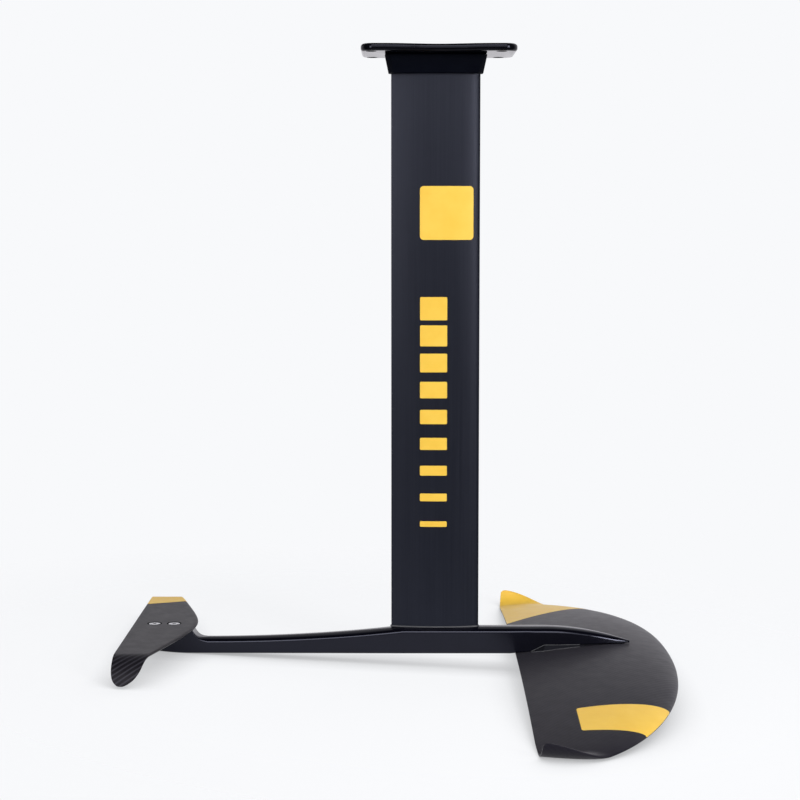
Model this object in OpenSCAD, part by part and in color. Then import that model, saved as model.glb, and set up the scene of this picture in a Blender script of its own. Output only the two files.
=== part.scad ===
// Hydrofoil: board plate, mast, fuselage, front wing and stabilizer.
// X points forward, Y to port and Z up. The origin is the centre of the bolt pattern on the board face.

/* [Board plate] */
// Length of the plate along X
plate_l = 207; // [203:1:240]
// Width of the plate across Y
plate_w = 115; // [112:1:140]
// Thickness of the plate
plate_t = 10; // [9:0.5:14]
// How far the plate's outline lies ahead of the mast's centre
plate_ahead = 3.5; // [0:0.5:5]
// Corner radius of the plate's outline
plate_corner_r = 18; // [14:1:20]
// Radius of the plate's rounded edges
plate_edge_r = 4; // [1:0.5:4]
// Depth of the waist in each long side
waist_depth = 11; // [0:0.5:16]
// Sharpness of the waist, larger is narrower
waist_power = 3; // [2:0.5:5]
// Board bolt spacing along X
bolt_dx = 172; // [155:1:174]
// Board bolt spacing across Y
bolt_dy = 90; // [80:1:90]
// Diameter of the board bolt holes
bolt_hole_d = 8.5; // [6.5:0.1:9]
// Diameter of the board bolts' countersinks
bolt_head_d = 15; // [13:0.5:15.5]

/* [Collar] */
// Height of the collar under the plate
collar_h = 25.5; // [24:0.5:40]
// Length of the collar at its widest, under the lip
collar_top_l = 137; // [134:1:150]
// Length of the collar at the bottom
collar_bottom_l = 127; // [125:0.5:133]
// Width of the collar at its widest
collar_top_w = 42; // [38:1:50]
// Width of the collar at the bottom
collar_bottom_w = 29; // [26:1:36]
// Chamfer on the collar's upright corners
collar_chamfer = 7; // [3:0.5:8]
// Height of the sloped lip at the top of the collar
collar_lip_h = 1.5; // [1:0.5:6]
// Inset of the lip where it meets the plate
collar_lip_in = 2; // [1:0.5:6]

/* [Mast] */
// Length of the mast extrusion
mast_l = 785; // [400:1:1050]
// Chord of the mast section
mast_chord = 120; // [114:1:121]
// Thickness of the mast section
mast_t = 19; // [18:0.5:22]
// Place of the thickest point, as a share of the chord from the leading edge
mast_crest = 0.45; // [0.35:0.01:0.5]
// Thickness of the trailing edge
mast_te_t = 2.4; // [1.5:0.1:3.5]
// Power of the taper behind the thickest point
mast_taper = 2.2; // [2:0.1:2.6]
// Wall of the mast extrusion
mast_wall = 2.6; // [2:0.1:3]
// Half length of the middle chamber, which takes the threaded blocks
mast_chamber = 36; // [34:1:38]
// Thickness of the two webs
mast_web = 4; // [3:0.5:5]
// Solid length at the leading edge
mast_front_solid = 9; // [8:0.5:14]
// Solid length at the trailing edge
mast_rear_solid = 14; // [13:0.5:16]
// Length of the threaded blocks in the mast's ends
block_l = 45; // [36:1:80]
// Glue gap round the blocks
block_gap = 0.1; // [0.05:0.05:0.2]
// Spacing of the three mast screws at each end
mast_screw_pitch = 24; // [20:1:27]

/* [Fuselage] */
// Half width of the fuselage at the mast
fus_half_w = 17; // [15:0.5:20]
// Half width of the tail boom
boom_half_w = 14; // [13:0.5:16]
// Height of the fuselage at the mast
fus_h = 35.5; // [32:0.5:42]
// Height of the rounded shoulders
shoulder_h = 7; // [4:0.5:9]
// Squareness of the shoulders, 2 is elliptical
shoulder_power = 2.2; // [2:0.1:4]
// Most of the height that the shoulders may take
shoulder_share = 0.19; // [0.12:0.01:0.3]
// Flat part of the crowned top, as a share of the half width
crown_flat = 0.1; // [0.05:0.05:0.4]
// Radius of the lower edges
fus_edge_r = 4; // [2:0.5:6]
// Radius of the edges round the flat seats
seat_edge_r = 1.5; // [0.5:0.1:3]
// Depth of the pocket that takes the mast's foot
mast_pocket = 6; // [4:0.5:10]
// Clearance round the mast in the pocket and the collar
mast_fit = 0.15; // [0.1:0.05:0.3]
// X of the tip of the nose
nose_x = 269; // [255:1:285]
// X where the nose starts to drop
nose_drop_x = 150; // [140:1:160]
// X where the nose starts to narrow
nose_taper_x = 130; // [115:1:140]
// Thickness of the tip of the nose
nose_tip_t = 2.8; // [2:0.1:4]
// Fullness of the nose's outline, smaller is fuller
nose_plan_power = 0.75; // [0.5:0.05:0.9]
// How far past the tip the nose's outline would close
nose_past = 3; // [2:0.5:6]
// X where the top bends down behind the mast
kink_x = -45; // [-60:1:-35]
// Drop of the tail boom's top below the mast's seat
boom_drop = 14.5; // [8:0.5:18]
// X where the tail boom's underside starts to rise
tail_rise_x = -335; // [-345:1:-250]
// Rise of the underside at the end of the tail
tail_rise = 8; // [4:0.5:12]
// How far the tail ends ahead of the stabilizer's trailing edge
tail_in = 8; // [4:1:14]
// Length of the rounded end of the tail
tail_round = 14; // [8:1:16]
// How far past its end the tail's outline would close
tail_past = 1; // [0.5:0.5:3]
// How far the tail pedestal reaches ahead of the stabilizer's apex
pedestal_ahead = 15; // [12:1:18]
// Length of the concave front of the tail pedestal
pedestal_fillet = 20; // [18:1:24]
// Height that the pedestal's front reaches above the tail boom
pedestal_h = 10.8; // [9:0.1:11]
// Power of the curve of the pedestal's front
pedestal_power = 3.6; // [3:0.1:4]
// Gap between the pedestal's seat and the stabilizer's belly
seat_gap = 0.1; // [0.05:0.05:0.2]
// Start of the wing seat's slope, ahead of the wing's trailing edge
ramp_start = 21; // [18:1:26]
// Length of the wing seat's slope
ramp_l = 18; // [12:1:24]
// How far behind the wing's trailing edge the underside starts to rise
ramp_lead = 8; // [4:1:10]
// Half length over which the lower edges sharpen towards the wing seat
edge_blend = 12; // [11:1:16]

/* [Front wing] */
// X of the trailing edge
wing_te_x = 111; // [105:1:115]
// Chord at the root
wing_chord = 213; // [205:1:220]
// Half span where the tips start to curl
wing_flat_y = 409; // [330:1:480]
// Radius of the curled tips
wing_tip_r = 27.5; // [22:0.5:36]
// Angle that the tips curl up to
wing_tip_angle = 77; // [45:1:80]
// Droop of the wing where the tips start to curl
wing_droop = 24; // [10:1:35]
// Thickness above the chord line at the root
wing_upper = 15.5; // [13:0.1:16]
// Thickness below the chord line at the root
wing_lower = 7.5; // [7:0.1:10]
// Thickness of the trailing edge
wing_te_t = 1.4; // [1:0.1:2]
// How far the leading edge lies below the trailing edge at the root
wing_nose_down = 5; // [4:0.5:7]
// First power of the planform's superellipse
plan_p = 2.25; // [1.9:0.05:2.6]
// Second power of the planform's superellipse
plan_q = 1.88; // [1.7:0.02:2.2]
// Chord left at the very tip
wing_tip_chord = 14; // [12:1:34]
// Forward rake of the trailing edge at the tip
wing_tip_rake = 5; // [0:1:7]
// Distance before the curl where the trailing edge starts to rake
wing_rake_lead = 45; // [10:1:80]
// Radius of the rear corner of the tip
wing_corner_r = 5; // [0:0.5:6]
// Thinning of the section towards the tips
wing_thin = 0.17; // [0:0.01:0.3]
// Thickness of the carbon skins
wing_skin = 2; // [1.5:0.1:2.1]
// Half span of the foam core
core_y = 280; // [200:1:300]
// Share of the chord where the core starts
core_first = 0.06; // [0.05:0.01:0.1]
// Share of the chord where the core ends
core_last = 0.77; // [0.7:0.01:0.78]
// Width of the dense block beyond the ferrules
block_margin = 6; // [3:0.5:8]
// Clearance between the wing's crest and the fuselage's seat, filled by the pad
pad_min = 0.6; // [0.4:0.1:2]
// Flare of the pad's sides at its foot
pad_flare = 9; // [4:1:14]
// Inset of the pad's top edge from the fuselage's side
pad_in = 0.4; // [0.2:0.1:1]
// How far behind the nose's tip the pad ends
pad_nose = 8; // [6:1:20]

/* [Stabilizer] */
// X of the trailing edge
stab_te_x = -415; // [-420:1:-408]
// X of the apex of the leading edge
stab_apex_x = -328; // [-332:1:-322]
// Sweep of the leading edge, X per Y
stab_sweep = 0.3; // [0.2:0.01:0.32]
// Rounding of the apex
stab_apex_r = 52; // [10:1:60]
// Half span where the tips start to turn down
stab_flat_y = 174; // [150:1:185]
// Half span at the tips
stab_half_span = 222; // [208:1:235]
// Share of the turned-down tip where its outline starts to round
stab_round_from = 0.56; // [0.4:0.02:0.8]
// How far the leading edge rounds back at the tip
stab_round_le = 15; // [4:1:16]
// How far the trailing edge rounds forward at the tip
stab_round_te = 5; // [0:1:8]
// Power of the tip's rounding
stab_round_power = 3; // [2:0.5:4]
// Drop of the tips
stab_drop = 32; // [20:1:42]
// Power of the curve that turns the tips down
stab_bend = 2.6; // [2.2:0.1:3.6]
// Thickness at the root
stab_t = 8; // [7.5:0.1:10]
// Thickness of the trailing edge
stab_te_t = 1.2; // [1:0.1:2]
// Place of the thickest point, as a share of the chord from the leading edge
stab_crest = 0.35; // [0.3:0.01:0.45]
// Fullness of the section ahead of its thickest point
stab_front_power = 2.6; // [2:0.1:3]
// Fullness of the section behind its thickest point
stab_back_power = 3; // [2:0.1:4]
// Depth of the leading edge below the flat top
stab_le_h = 1.5; // [1:0.1:2]
// Share of the chord over which the leading edge rounds over
stab_lip = 0.06; // [0.03:0.01:0.1]
// Height of the stabilizer's flat top above the top of the tail boom
stab_rise = 18; // [16:0.5:21]

/* [Screws] */
// Diameter of the main screws
screw_d = 8; // [7:0.5:8]
// Diameter of the main screws' heads
screw_head_d = 16; // [14:0.5:16]
// Clearance on the diameter of the screws' holes
screw_clear = 0.5; // [0.3:0.1:0.8]
// Width across flats of the screws' sockets, as a share of the diameter
socket_flats = 0.62; // [0.5:0.02:0.64]
// Depth of the screws' sockets, as a share of the diameter
socket_depth = 0.45; // [0.3:0.05:0.5]
// Depth of the screw heads below the skins of the wing and the stabilizer
head_recess = 0.3; // [0.1:0.1:0.6]
// Outer diameter of the thread inserts
insert_d = 10; // [9.5:0.1:10.4]
// Length of the thread inserts in the mast's blocks
mast_insert_l = 20; // [12:1:30]
// Length of the thread inserts in the fuselage
fus_insert_l = 11; // [8:0.5:12]
// X of the rear front wing screw
wing_screw_x = 168; // [166:1:172]
// Spacing of the three front wing screws
wing_screw_pitch = 28; // [24:1:29]
// X of the rear stabilizer screw
stab_screw_x = -387; // [-389:1:-386]
// Spacing of the two stabilizer screws
stab_screw_pitch = 27; // [25:1:29]
// Diameter of the stabilizer's ferrules
stab_ferrule_d = 20; // [19:0.5:21]
// Carbon left under the stabilizer's ferrules
stab_ferrule_floor = 1.3; // [1:0.1:1.5]
// Diameter of the front wing's ferrules
wing_ferrule_d = 20; // [18:0.5:22]
// Height of the front wing's ferrules
wing_ferrule_h = 6; // [5:0.5:7]
// Diameter of the collar screws
collar_screw_d = 5; // [4:0.5:5]
// Diameter of the collar screws' heads
collar_screw_head_d = 10; // [8:0.5:10]
// Thread length of the collar screws
collar_screw_grip = 12; // [8:1:14]
// Distance of the collar screws from the middle, along X
collar_screw_x = 46; // [42:1:50]
// Distance of the collar screws from the middle, across Y
collar_screw_y = 12.5; // [12:0.5:13]

/* [Hidden] */
$fn = 48;
// Overlap of cuts that end on a face
eps = 0.01;
// Length of cuts that run out of the solid
over = 30;

// Levels, from the board face down
mast_top_z = -plate_t;
mast_foot_z = mast_top_z - mast_l;
fus_top_z = mast_foot_z + mast_pocket;
fus_bottom_z = fus_top_z - fus_h;
boom_top_z = fus_top_z - boom_drop;
stab_z = boom_top_z + stab_rise;
wing_te_z = fus_bottom_z - wing_te_t / 2;

// Front wing, measured along its half span
tip_start = -atan(2 * wing_droop / wing_flat_y);
tip_arc = wing_tip_r * (wing_tip_angle - tip_start) * PI / 180;
wing_half_arc = wing_flat_y + tip_arc;
// Half span at which the planform's superellipse would close
plan_reach = wing_half_arc / (1 - (wing_tip_chord / wing_chord) ^ plan_q) ^ (1 / plan_p);

// Screws and inserts
screw_r = screw_d / 2;
screw_hole_r = (screw_d + screw_clear) / 2;
insert_r = insert_d / 2;
mast_screws = [-mast_screw_pitch, 0, mast_screw_pitch];
wing_screws = [for (i = [0 : 2]) wing_screw_x + i * wing_screw_pitch];
stab_screws = [stab_screw_x, stab_screw_x + stab_screw_pitch];
head_hole_r = (screw_head_d + screw_clear) / 2;

// Counts and spacing of points and stations
section_n = 12;
core_n = 9;
wing_n = 30;
core_half_n = 12;
stab_n = 9;
stab_flat_n = 9;
stab_spacing = 1.5;
stab_tip_n = 12;
mast_n = 24;
chamber_n = 10;
plate_side_n = 8;
plate_edge_step = 22.5;
corner_step = 15;
nose_n = 15;
tail_n = 5;
fillet_n = 6;
boom_n = 10;
pad_n = 6;
shoulder_n = 6;
edge_step = 30;
// Least distance between two stations of the tail
station_gap = 1;

// Solid through a list of closed rings that all have the same number of points.
// Seen from the end of the list, each ring runs anticlockwise.
module loft(rings) {
    n = len(rings[0]);
    m = len(rings);
    sides = [
        for (j = [0 : m - 2], i = [0 : n - 1])
            let (a = j * n + i, b = j * n + (i + 1) % n)
            each [[a, b + n, b], [a, a + n, b + n]]
    ];
    start = [for (i = [0 : n - 1]) i];
    end = [for (i = [0 : n - 1]) m * n - 1 - i];
    polyhedron([for (r = rings) each r], concat(sides, [start, end]), convexity = 8);
}

// Share of the chord at step i of n, finer at both ends
function cosine_step(i, n) = (1 - cos(180 * i / n)) / 2;

// Thickness curve of a foil section, 1 at its thickest; f runs from the leading to the trailing edge
function foil_curve(f) =
    10 * (0.2969 * sqrt(f) - 0.126 * f - 0.3516 * f ^ 2 + 0.2843 * f ^ 3 - 0.1036 * f ^ 4);

// Board plate

// Inset of the waist at x
function waist_in(x) = waist_depth * cos(180 * x / (plate_l - 2 * plate_corner_r)) ^ waist_power;

// The plate's outline, set in by d, at height z
function plate_ring(d, z) =
    let (
        cx = plate_l / 2 - plate_corner_r,
        cy = plate_w / 2 - plate_corner_r,
        r = plate_corner_r - d,
        side = plate_w / 2 - d,
        side_x = [for (i = [1 - plate_side_n : plate_side_n - 1]) i * cx / plate_side_n],
        outline = concat(
            [for (x = side_x) [x, -side + waist_in(x)]],
            [for (a = [-90 : corner_step : 0]) [cx + r * cos(a), -cy + r * sin(a)]],
            [for (a = [0 : corner_step : 90]) [cx + r * cos(a), cy + r * sin(a)]],
            [for (x = side_x) [-x, side - waist_in(x)]],
            [for (a = [90 : corner_step : 180]) [-cx + r * cos(a), cy + r * sin(a)]],
            [for (a = [180 : corner_step : 270]) [-cx + r * cos(a), -cy + r * sin(a)]]
        )
    )
    [for (p = outline) [plate_ahead + p[0], p[1], z]];

plate_rings = concat(
    [for (a = [90 : -plate_edge_step : 0])
        plate_ring(plate_edge_r * (1 - cos(a)), -plate_t + plate_edge_r * (1 - sin(a)))],
    [for (a = [0 : plate_edge_step : 90])
        plate_ring(plate_edge_r * (1 - cos(a)), -plate_edge_r * (1 - sin(a)))]
);

module at_board_bolts() {
    for (x = [-1, 1], y = [-1, 1])
        translate([x * bolt_dx / 2, y * bolt_dy / 2, 0])
            children();
}

module at_collar_screws() {
    for (x = [-1, 1], y = [-1, 1])
        translate([x * collar_screw_x, y * collar_screw_y, 0])
            children();
}

// Countersunk hole that opens upwards at z = 0 and runs down by depth
module sunk_hole(hole_r, head_r, depth) {
    sink = head_r - hole_r;
    translate([0, 0, -depth])
        cylinder(r = hole_r, h = depth + eps);
    translate([0, 0, -sink])
        cylinder(r1 = hole_r, r2 = head_r, h = sink);
    cylinder(r = head_r, h = over);
}

// Countersunk screw with a hexagon socket, its head flush at z = 0
module sunk_screw(d, head_d, length) {
    sink = (head_d - d) / 2;
    difference() {
        union() {
            translate([0, 0, -length])
                cylinder(d = d, h = length - sink);
            translate([0, 0, -sink])
                cylinder(d1 = d, d2 = head_d, h = sink);
        }
        translate([0, 0, -socket_depth * d])
            cylinder(d = socket_flats * d / cos(30), h = d, $fn = 6);
    }
}

module board_plate() {
    color([0.04, 0.04, 0.05])
    difference() {
        loft(plate_rings);
        at_board_bolts()
            translate([0, 0, -plate_t])
                rotate([180, 0, 0])
                    sunk_hole(bolt_hole_d / 2, bolt_head_d / 2, plate_t + eps);
        for (x = mast_screws)
            translate([x, 0, 0])
                sunk_hole(screw_hole_r, head_hole_r, plate_t + eps);
        at_collar_screws()
            sunk_hole((collar_screw_d + screw_clear) / 2, (collar_screw_head_d + screw_clear) / 2,
                plate_t + eps);
    }
}

// Collar

// Rectangle with chamfered corners at height z
function collar_ring(l, w, z) =
    let (x = l / 2, y = w / 2, c = collar_chamfer)
    [
        [x - c, -y, z], [x, -y + c, z], [x, y - c, z], [x - c, y, z],
        [-x + c, y, z], [-x, y - c, z], [-x, -y + c, z], [-x + c, -y, z]
    ];

module mast_collar() {
    lip = 2 * collar_lip_in;
    color([0.06, 0.06, 0.07])
    difference() {
        loft([
            collar_ring(collar_bottom_l, collar_bottom_w, mast_top_z - collar_h),
            collar_ring(collar_top_l, collar_top_w, mast_top_z - collar_lip_h),
            collar_ring(collar_top_l - lip, collar_top_w - lip, mast_top_z)
        ]);
        translate([0, 0, mast_top_z - collar_h - eps])
            linear_extrude(collar_h + 2 * eps)
                polygon(mast_outline(mast_fit));
        at_collar_screws()
            translate([0, 0, mast_top_z - collar_screw_grip])
                cylinder(d = collar_screw_d, h = collar_screw_grip + eps);
    }
}

module collar_screws() {
    color([0.55, 0.56, 0.58])
    at_collar_screws()
        sunk_screw(collar_screw_d, collar_screw_head_d, plate_t + collar_screw_grip);
}

// Mast

// Half thickness of the mast at x
function mast_half(x) =
    let (
        f = min(1, max(0, 0.5 - x / mast_chord)),
        front = (mast_crest - f) / mast_crest,
        back = (f - mast_crest) / (1 - mast_crest)
    )
    f < mast_crest
        ? mast_t / 2 * sqrt(max(0, 1 - front ^ 2))
        : mast_t / 2 - (mast_t - mast_te_t) / 2 * back ^ mast_taper;

// Outline of the mast's section, grown by g on every side
function mast_outline(g) =
    let (
        xs = [for (i = [0 : mast_n]) mast_chord * (0.5 - cosine_step(i, mast_n))],
        grown = 1 + 2 * g / mast_chord,
        upper = [for (x = xs) [x * grown, mast_half(x) + g]],
        lower = [for (i = [mast_n : -1 : 0]) [xs[i] * grown, -mast_half(xs[i]) - g]]
    )
    concat(upper, lower);

// Outline of a chamber from x0 to x1, set in by the wall
function chamber_outline(x0, x1, wall) =
    let (xs = [for (i = [0 : chamber_n]) x0 + (x1 - x0) * i / chamber_n])
    concat(
        [for (x = xs) [x, -mast_half(x) + wall]],
        [for (i = [chamber_n : -1 : 0]) [xs[i], mast_half(xs[i]) - wall]]
    );

web_x = mast_chamber + mast_web;
front_chamber_x = mast_chord / 2 - mast_front_solid;
rear_chamber_x = mast_rear_solid - mast_chord / 2;

module mast() {
    color([0.16, 0.17, 0.19])
    translate([0, 0, mast_foot_z])
        difference() {
            linear_extrude(mast_l)
                polygon(mast_outline(0));
            translate([0, 0, -eps])
                linear_extrude(mast_l + 2 * eps) {
                    polygon(chamber_outline(-mast_chamber, mast_chamber, mast_wall));
                    polygon(chamber_outline(web_x, front_chamber_x, mast_wall));
                    polygon(chamber_outline(rear_chamber_x, -web_x, mast_wall));
                }
        }
}

// Threaded block that fills the middle chamber, its lower end at z = 0
module mast_block() {
    difference() {
        linear_extrude(block_l)
            polygon(chamber_outline(-mast_chamber + block_gap, mast_chamber - block_gap,
                mast_wall + block_gap));
        for (x = mast_screws)
            translate([x, 0, -eps])
                cylinder(r = insert_r, h = block_l + 2 * eps);
    }
}

// Thread insert, its lower end at z = 0
module insert(length) {
    difference() {
        cylinder(r = insert_r, h = length);
        translate([0, 0, -eps])
            cylinder(r = screw_r, h = length + 2 * eps);
    }
}

module head_block() {
    color([0.72, 0.73, 0.75])
    translate([0, 0, mast_top_z - block_l])
        mast_block();
}

module head_inserts() {
    color([0.55, 0.56, 0.58])
    for (x = mast_screws)
        translate([x, 0, mast_top_z - mast_insert_l])
            insert(mast_insert_l);
}

module head_screws() {
    color([0.62, 0.63, 0.65])
    for (x = mast_screws)
        translate([x, 0, 0])
            sunk_screw(screw_d, screw_head_d, plate_t + mast_insert_l);
}

module foot_block() {
    color([0.72, 0.73, 0.75])
    translate([0, 0, mast_foot_z])
        mast_block();
}

module foot_inserts() {
    color([0.55, 0.56, 0.58])
    for (x = mast_screws)
        translate([x, 0, mast_foot_z])
            insert(mast_insert_l);
}

module foot_screws() {
    color([0.62, 0.63, 0.65])
    for (x = mast_screws)
        translate([x, 0, fus_bottom_z])
            rotate([180, 0, 0])
                sunk_screw(screw_d, screw_head_d, mast_foot_z - fus_bottom_z + mast_insert_l);
}

// Fuselage

// The flat under the nose lies just above the crest of the wing
wing_crest = max([for (x = [wing_te_x : 1 : wing_te_x + wing_chord - 1]) wing_upper_z(x)]);
seat_z = wing_crest + pad_min;
ramp_x0 = wing_te_x + ramp_start;
ramp_x1 = ramp_x0 + ramp_l;
ramp_z0 = wing_upper_z(ramp_x0) + pad_min;
pedestal_x = stab_apex_x + pedestal_ahead;
tail_x = stab_te_x + tail_in;
stab_chord = stab_apex_x - stab_te_x;

// Height of the top of the fuselage at x
function fus_top(x) =
    let (
        nose = max(0, (x - nose_drop_x) / (nose_x - nose_drop_x)),
        boom = (x - pedestal_x) / (kink_x - pedestal_x),
        step = (pedestal_x - x) / pedestal_fillet
    )
    x > kink_x ? fus_top_z - (fus_top_z - seat_z - nose_tip_t) * nose ^ 2
    : x > pedestal_x ? boom_top_z + boom_drop * boom ^ 2
    : min(boom_top_z + pedestal_h * step ^ pedestal_power, stab_belly_z(x) - seat_gap);

// Height of the tops of the stabilizer's inserts, below the curved seat
function stab_insert_z(x) = min([for (d = [-insert_r, 0, insert_r]) fus_top(x + d)]);

// Height of the underside at x
function fus_bottom(x) =
    let (tail = max(0, (tail_rise_x - x) / (tail_rise_x - tail_x)))
    x < tail_rise_x ? fus_bottom_z + tail_rise * tail ^ 2
    : lookup(x, [
        [wing_te_x - ramp_lead, fus_bottom_z], [ramp_x0, ramp_z0], [ramp_x1, seat_z], [nose_x, seat_z]
    ]);

// Half width at x
function fus_half(x) =
    let (
        nose = min(1, max(0, (x - nose_taper_x) / (nose_x + nose_past - nose_taper_x))),
        boom = min(1, max(0, (kink_x - x) / (kink_x - pedestal_x))),
        tail = min(1, max(0, (tail_x + tail_round - x) / (tail_round + tail_past)))
    )
    x > kink_x ? fus_half_w * (1 - nose ^ 2) ^ nose_plan_power
    : (fus_half_w + (boom_half_w - fus_half_w) * boom) * sqrt(1 - tail ^ 2);

// Section of the fuselage at x
function fus_ring(x) =
    let (
        w = fus_half(x),
        top = fus_top(x),
        low = fus_bottom(x),
        seated = min(1, max(0, (x - wing_te_x + edge_blend) / (2 * edge_blend))),
        r = min(fus_edge_r + (seat_edge_r - fus_edge_r) * seated, w / 4, (top - low) / 4),
        on_seat = min(1, max(0, (pedestal_x - x) / pedestal_fillet)),
        sh = min(shoulder_h + (seat_edge_r - shoulder_h) * on_seat, shoulder_share * (top - low)),
        crown = crown_flat * w,
        flat = crown + (w - crown - seat_edge_r) * on_seat,
        edge = [for (a = [-90 : edge_step : 0]) [w - r + r * cos(a), low + r + r * sin(a)]],
        shoulder = [for (i = [0 : shoulder_n]) let (a = 90 * i / shoulder_n)
            [flat + (w - flat) * cos(a) ^ (2 / shoulder_power),
                top - sh + sh * sin(a) ^ (2 / shoulder_power)]],
        right = concat(edge, shoulder)
    )
    concat(
        [for (p = right) [x, p[0], p[1]]],
        [for (i = [len(right) - 1 : -1 : 0]) [x, -right[i][0], right[i][1]]]
    );

// n steps from a towards b, without b
function steps(a, b, n) = [for (i = [0 : n - 1]) a + (b - a) * i / n];

// Stations of the seat, level with the points of the stabilizer's section
tail_end = tail_x + tail_round;
seat_end = pedestal_x - pedestal_fillet;
section_xs = [for (i = [stab_n : -1 : 0]) stab_apex_x - stab_chord * cosine_step(i, stab_n)];
seat_stations = [for (x = section_xs) if (x > tail_end + station_gap && x < seat_end - station_gap) x];

fus_stations = concat(
    [for (i = [0 : tail_n]) tail_x + tail_round * (1 - cos(90 * i / tail_n))],
    seat_stations,
    steps(seat_end, pedestal_x, fillet_n),
    steps(pedestal_x, kink_x, boom_n),
    [kink_x, wing_te_x - edge_blend, wing_te_x - ramp_lead, wing_te_x + edge_blend, ramp_x0],
    [for (i = [0 : nose_n]) ramp_x1 + (nose_x - ramp_x1) * sin(90 * i / nose_n)]
);

module fuselage() {
    color([0.05, 0.05, 0.06])
    difference() {
        loft([for (x = fus_stations) fus_ring(x)]);
        translate([0, 0, mast_foot_z])
            linear_extrude(over)
                polygon(mast_outline(mast_fit));
        for (x = mast_screws)
            translate([x, 0, fus_bottom_z])
                rotate([180, 0, 0])
                    sunk_hole(screw_hole_r, head_hole_r, fus_h);
        for (x = wing_screws)
            translate([x, 0, seat_z - eps])
                cylinder(r = insert_r, h = fus_insert_l + eps);
        for (x = stab_screws)
            translate([x, 0, stab_insert_z(x) - fus_insert_l])
                cylinder(r = insert_r, h = over);
    }
}

// Front wing

// Chord at distance s from the root, measured along the wing
function wing_chord_at(s) = wing_chord * (1 - (abs(s) / plan_reach) ^ plan_p) ^ (1 / plan_q);

// Trailing edge at distance s
function wing_te_at(s) =
    let (
        raked = max(0, abs(s) - wing_flat_y + wing_rake_lead) / (tip_arc + wing_rake_lead),
        corner = max(0, wing_corner_r - wing_half_arc + abs(s))
    )
    wing_te_x + wing_tip_rake * raked ^ 2 + wing_corner_r - sqrt(wing_corner_r ^ 2 - corner ^ 2);

// Share of the root's thickness at distance s
function wing_scale(s) = wing_chord_at(s) / wing_chord * (1 - wing_thin * (s / wing_half_arc) ^ 2);

// Path of the trailing edge: [y, z, angle] at distance s
function wing_path(s) =
    let (
        a = abs(s),
        side = s < 0 ? -1 : 1,
        turn = tip_start + (a - wing_flat_y) / wing_tip_r * 180 / PI
    )
    a <= wing_flat_y
        ? [s, -wing_droop * (a / wing_flat_y) ^ 2, -side * atan(2 * wing_droop * a / wing_flat_y ^ 2)]
        : [side * (wing_flat_y + wing_tip_r * (sin(turn) - sin(tip_start))),
            -wing_droop + wing_tip_r * (cos(tip_start) - cos(turn)), side * turn];

// Height of the chord line above the trailing edge at share f of the chord
function wing_chord_line(f, s) = -wing_nose_down * (1 - f) * wing_chord_at(s) / wing_chord;

// Distance from the chord line to the upper (side 1) or lower (side -1) surface
function wing_side(f, s, side) =
    side * (foil_curve(f) * wing_scale(s) * (side > 0 ? wing_upper : wing_lower) + f * wing_te_t / 2);

// Point on the section at distance s: share f of the chord, height h over the trailing edge
function wing_point(f, h, s) =
    let (p = wing_path(s))
    [wing_te_at(s) + (1 - f) * (wing_chord_at(s) - (wing_te_at(s) - wing_te_x)),
        p[0] - h * sin(p[2]), wing_te_z + p[1] + h * cos(p[2])];

// Closed section from shares f0 to f1, set in by skin
function wing_ring(s, fs, skin) =
    let (n = len(fs) - 1, open = fs[0] > 0 ? 0 : 1)
    concat(
        [for (i = [n : -1 : 0])
            wing_point(fs[i], wing_chord_line(fs[i], s) + wing_side(fs[i], s, 1) - skin, s)],
        [for (i = [open : n])
            wing_point(fs[i], wing_chord_line(fs[i], s) + wing_side(fs[i], s, -1) + skin, s)]
    );

section_fs = [for (i = [0 : section_n]) cosine_step(i, section_n)];
core_fs = [for (i = [0 : core_n]) core_first + (core_last - core_first) * cosine_step(i, core_n)];
wing_stations = [for (i = [-wing_n : wing_n]) wing_half_arc * sin(90 * i / wing_n)];
core_stations = [for (i = [-core_half_n : core_half_n]) core_y * i / core_half_n];
wing_rings = [for (s = wing_stations) wing_ring(s, section_fs, 0)];
core_rings = [for (s = core_stations) wing_ring(s, core_fs, wing_skin)];

// Height of the wing's upper and lower surface on the centreline
function wing_upper_z(x) =
    let (f = 1 - (x - wing_te_x) / wing_chord)
    wing_te_z + wing_chord_line(f, 0) + wing_side(f, 0, 1);
function wing_lower_z(x) =
    let (f = 1 - (x - wing_te_x) / wing_chord)
    wing_te_z + wing_chord_line(f, 0) + wing_side(f, 0, -1);

// Height of the front wing screws' heads
function wing_head_z(x) = wing_lower_z(x) + head_recess;

// Seats of the ferrules, open downwards
module wing_ferrule_seats() {
    for (x = wing_screws)
        translate([x, 0, wing_lower_z(x) - over])
            cylinder(d = wing_ferrule_d, h = over + wing_ferrule_h);
}

// Clearance holes of the front wing screws
module wing_screw_holes() {
    for (x = wing_screws)
        translate([x, 0, wing_lower_z(x) - eps])
            cylinder(r = screw_hole_r, h = seat_z - wing_lower_z(x) + 2 * eps);
}

// Space of the dense block round the ferrules
module wing_block_space() {
    reach = wing_ferrule_d / 2 + block_margin;
    length = wing_screws[2] - wing_screws[0] + 2 * reach;
    translate([wing_screws[0] - reach, -reach, wing_te_z - over])
        cube([length, 2 * reach, 2 * over]);
}

module front_wing() {
    color([0.2, 0.2, 0.21])
    difference() {
        loft(wing_rings);
        loft(core_rings);
        wing_ferrule_seats();
        wing_screw_holes();
    }
}

module front_wing_core() {
    color([0.85, 0.8, 0.62])
    difference() {
        loft(core_rings);
        wing_block_space();
    }
}

module front_wing_block() {
    color([0.3, 0.28, 0.24])
    difference() {
        intersection() {
            loft(core_rings);
            wing_block_space();
        }
        wing_ferrule_seats();
        wing_screw_holes();
    }
}

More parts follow.
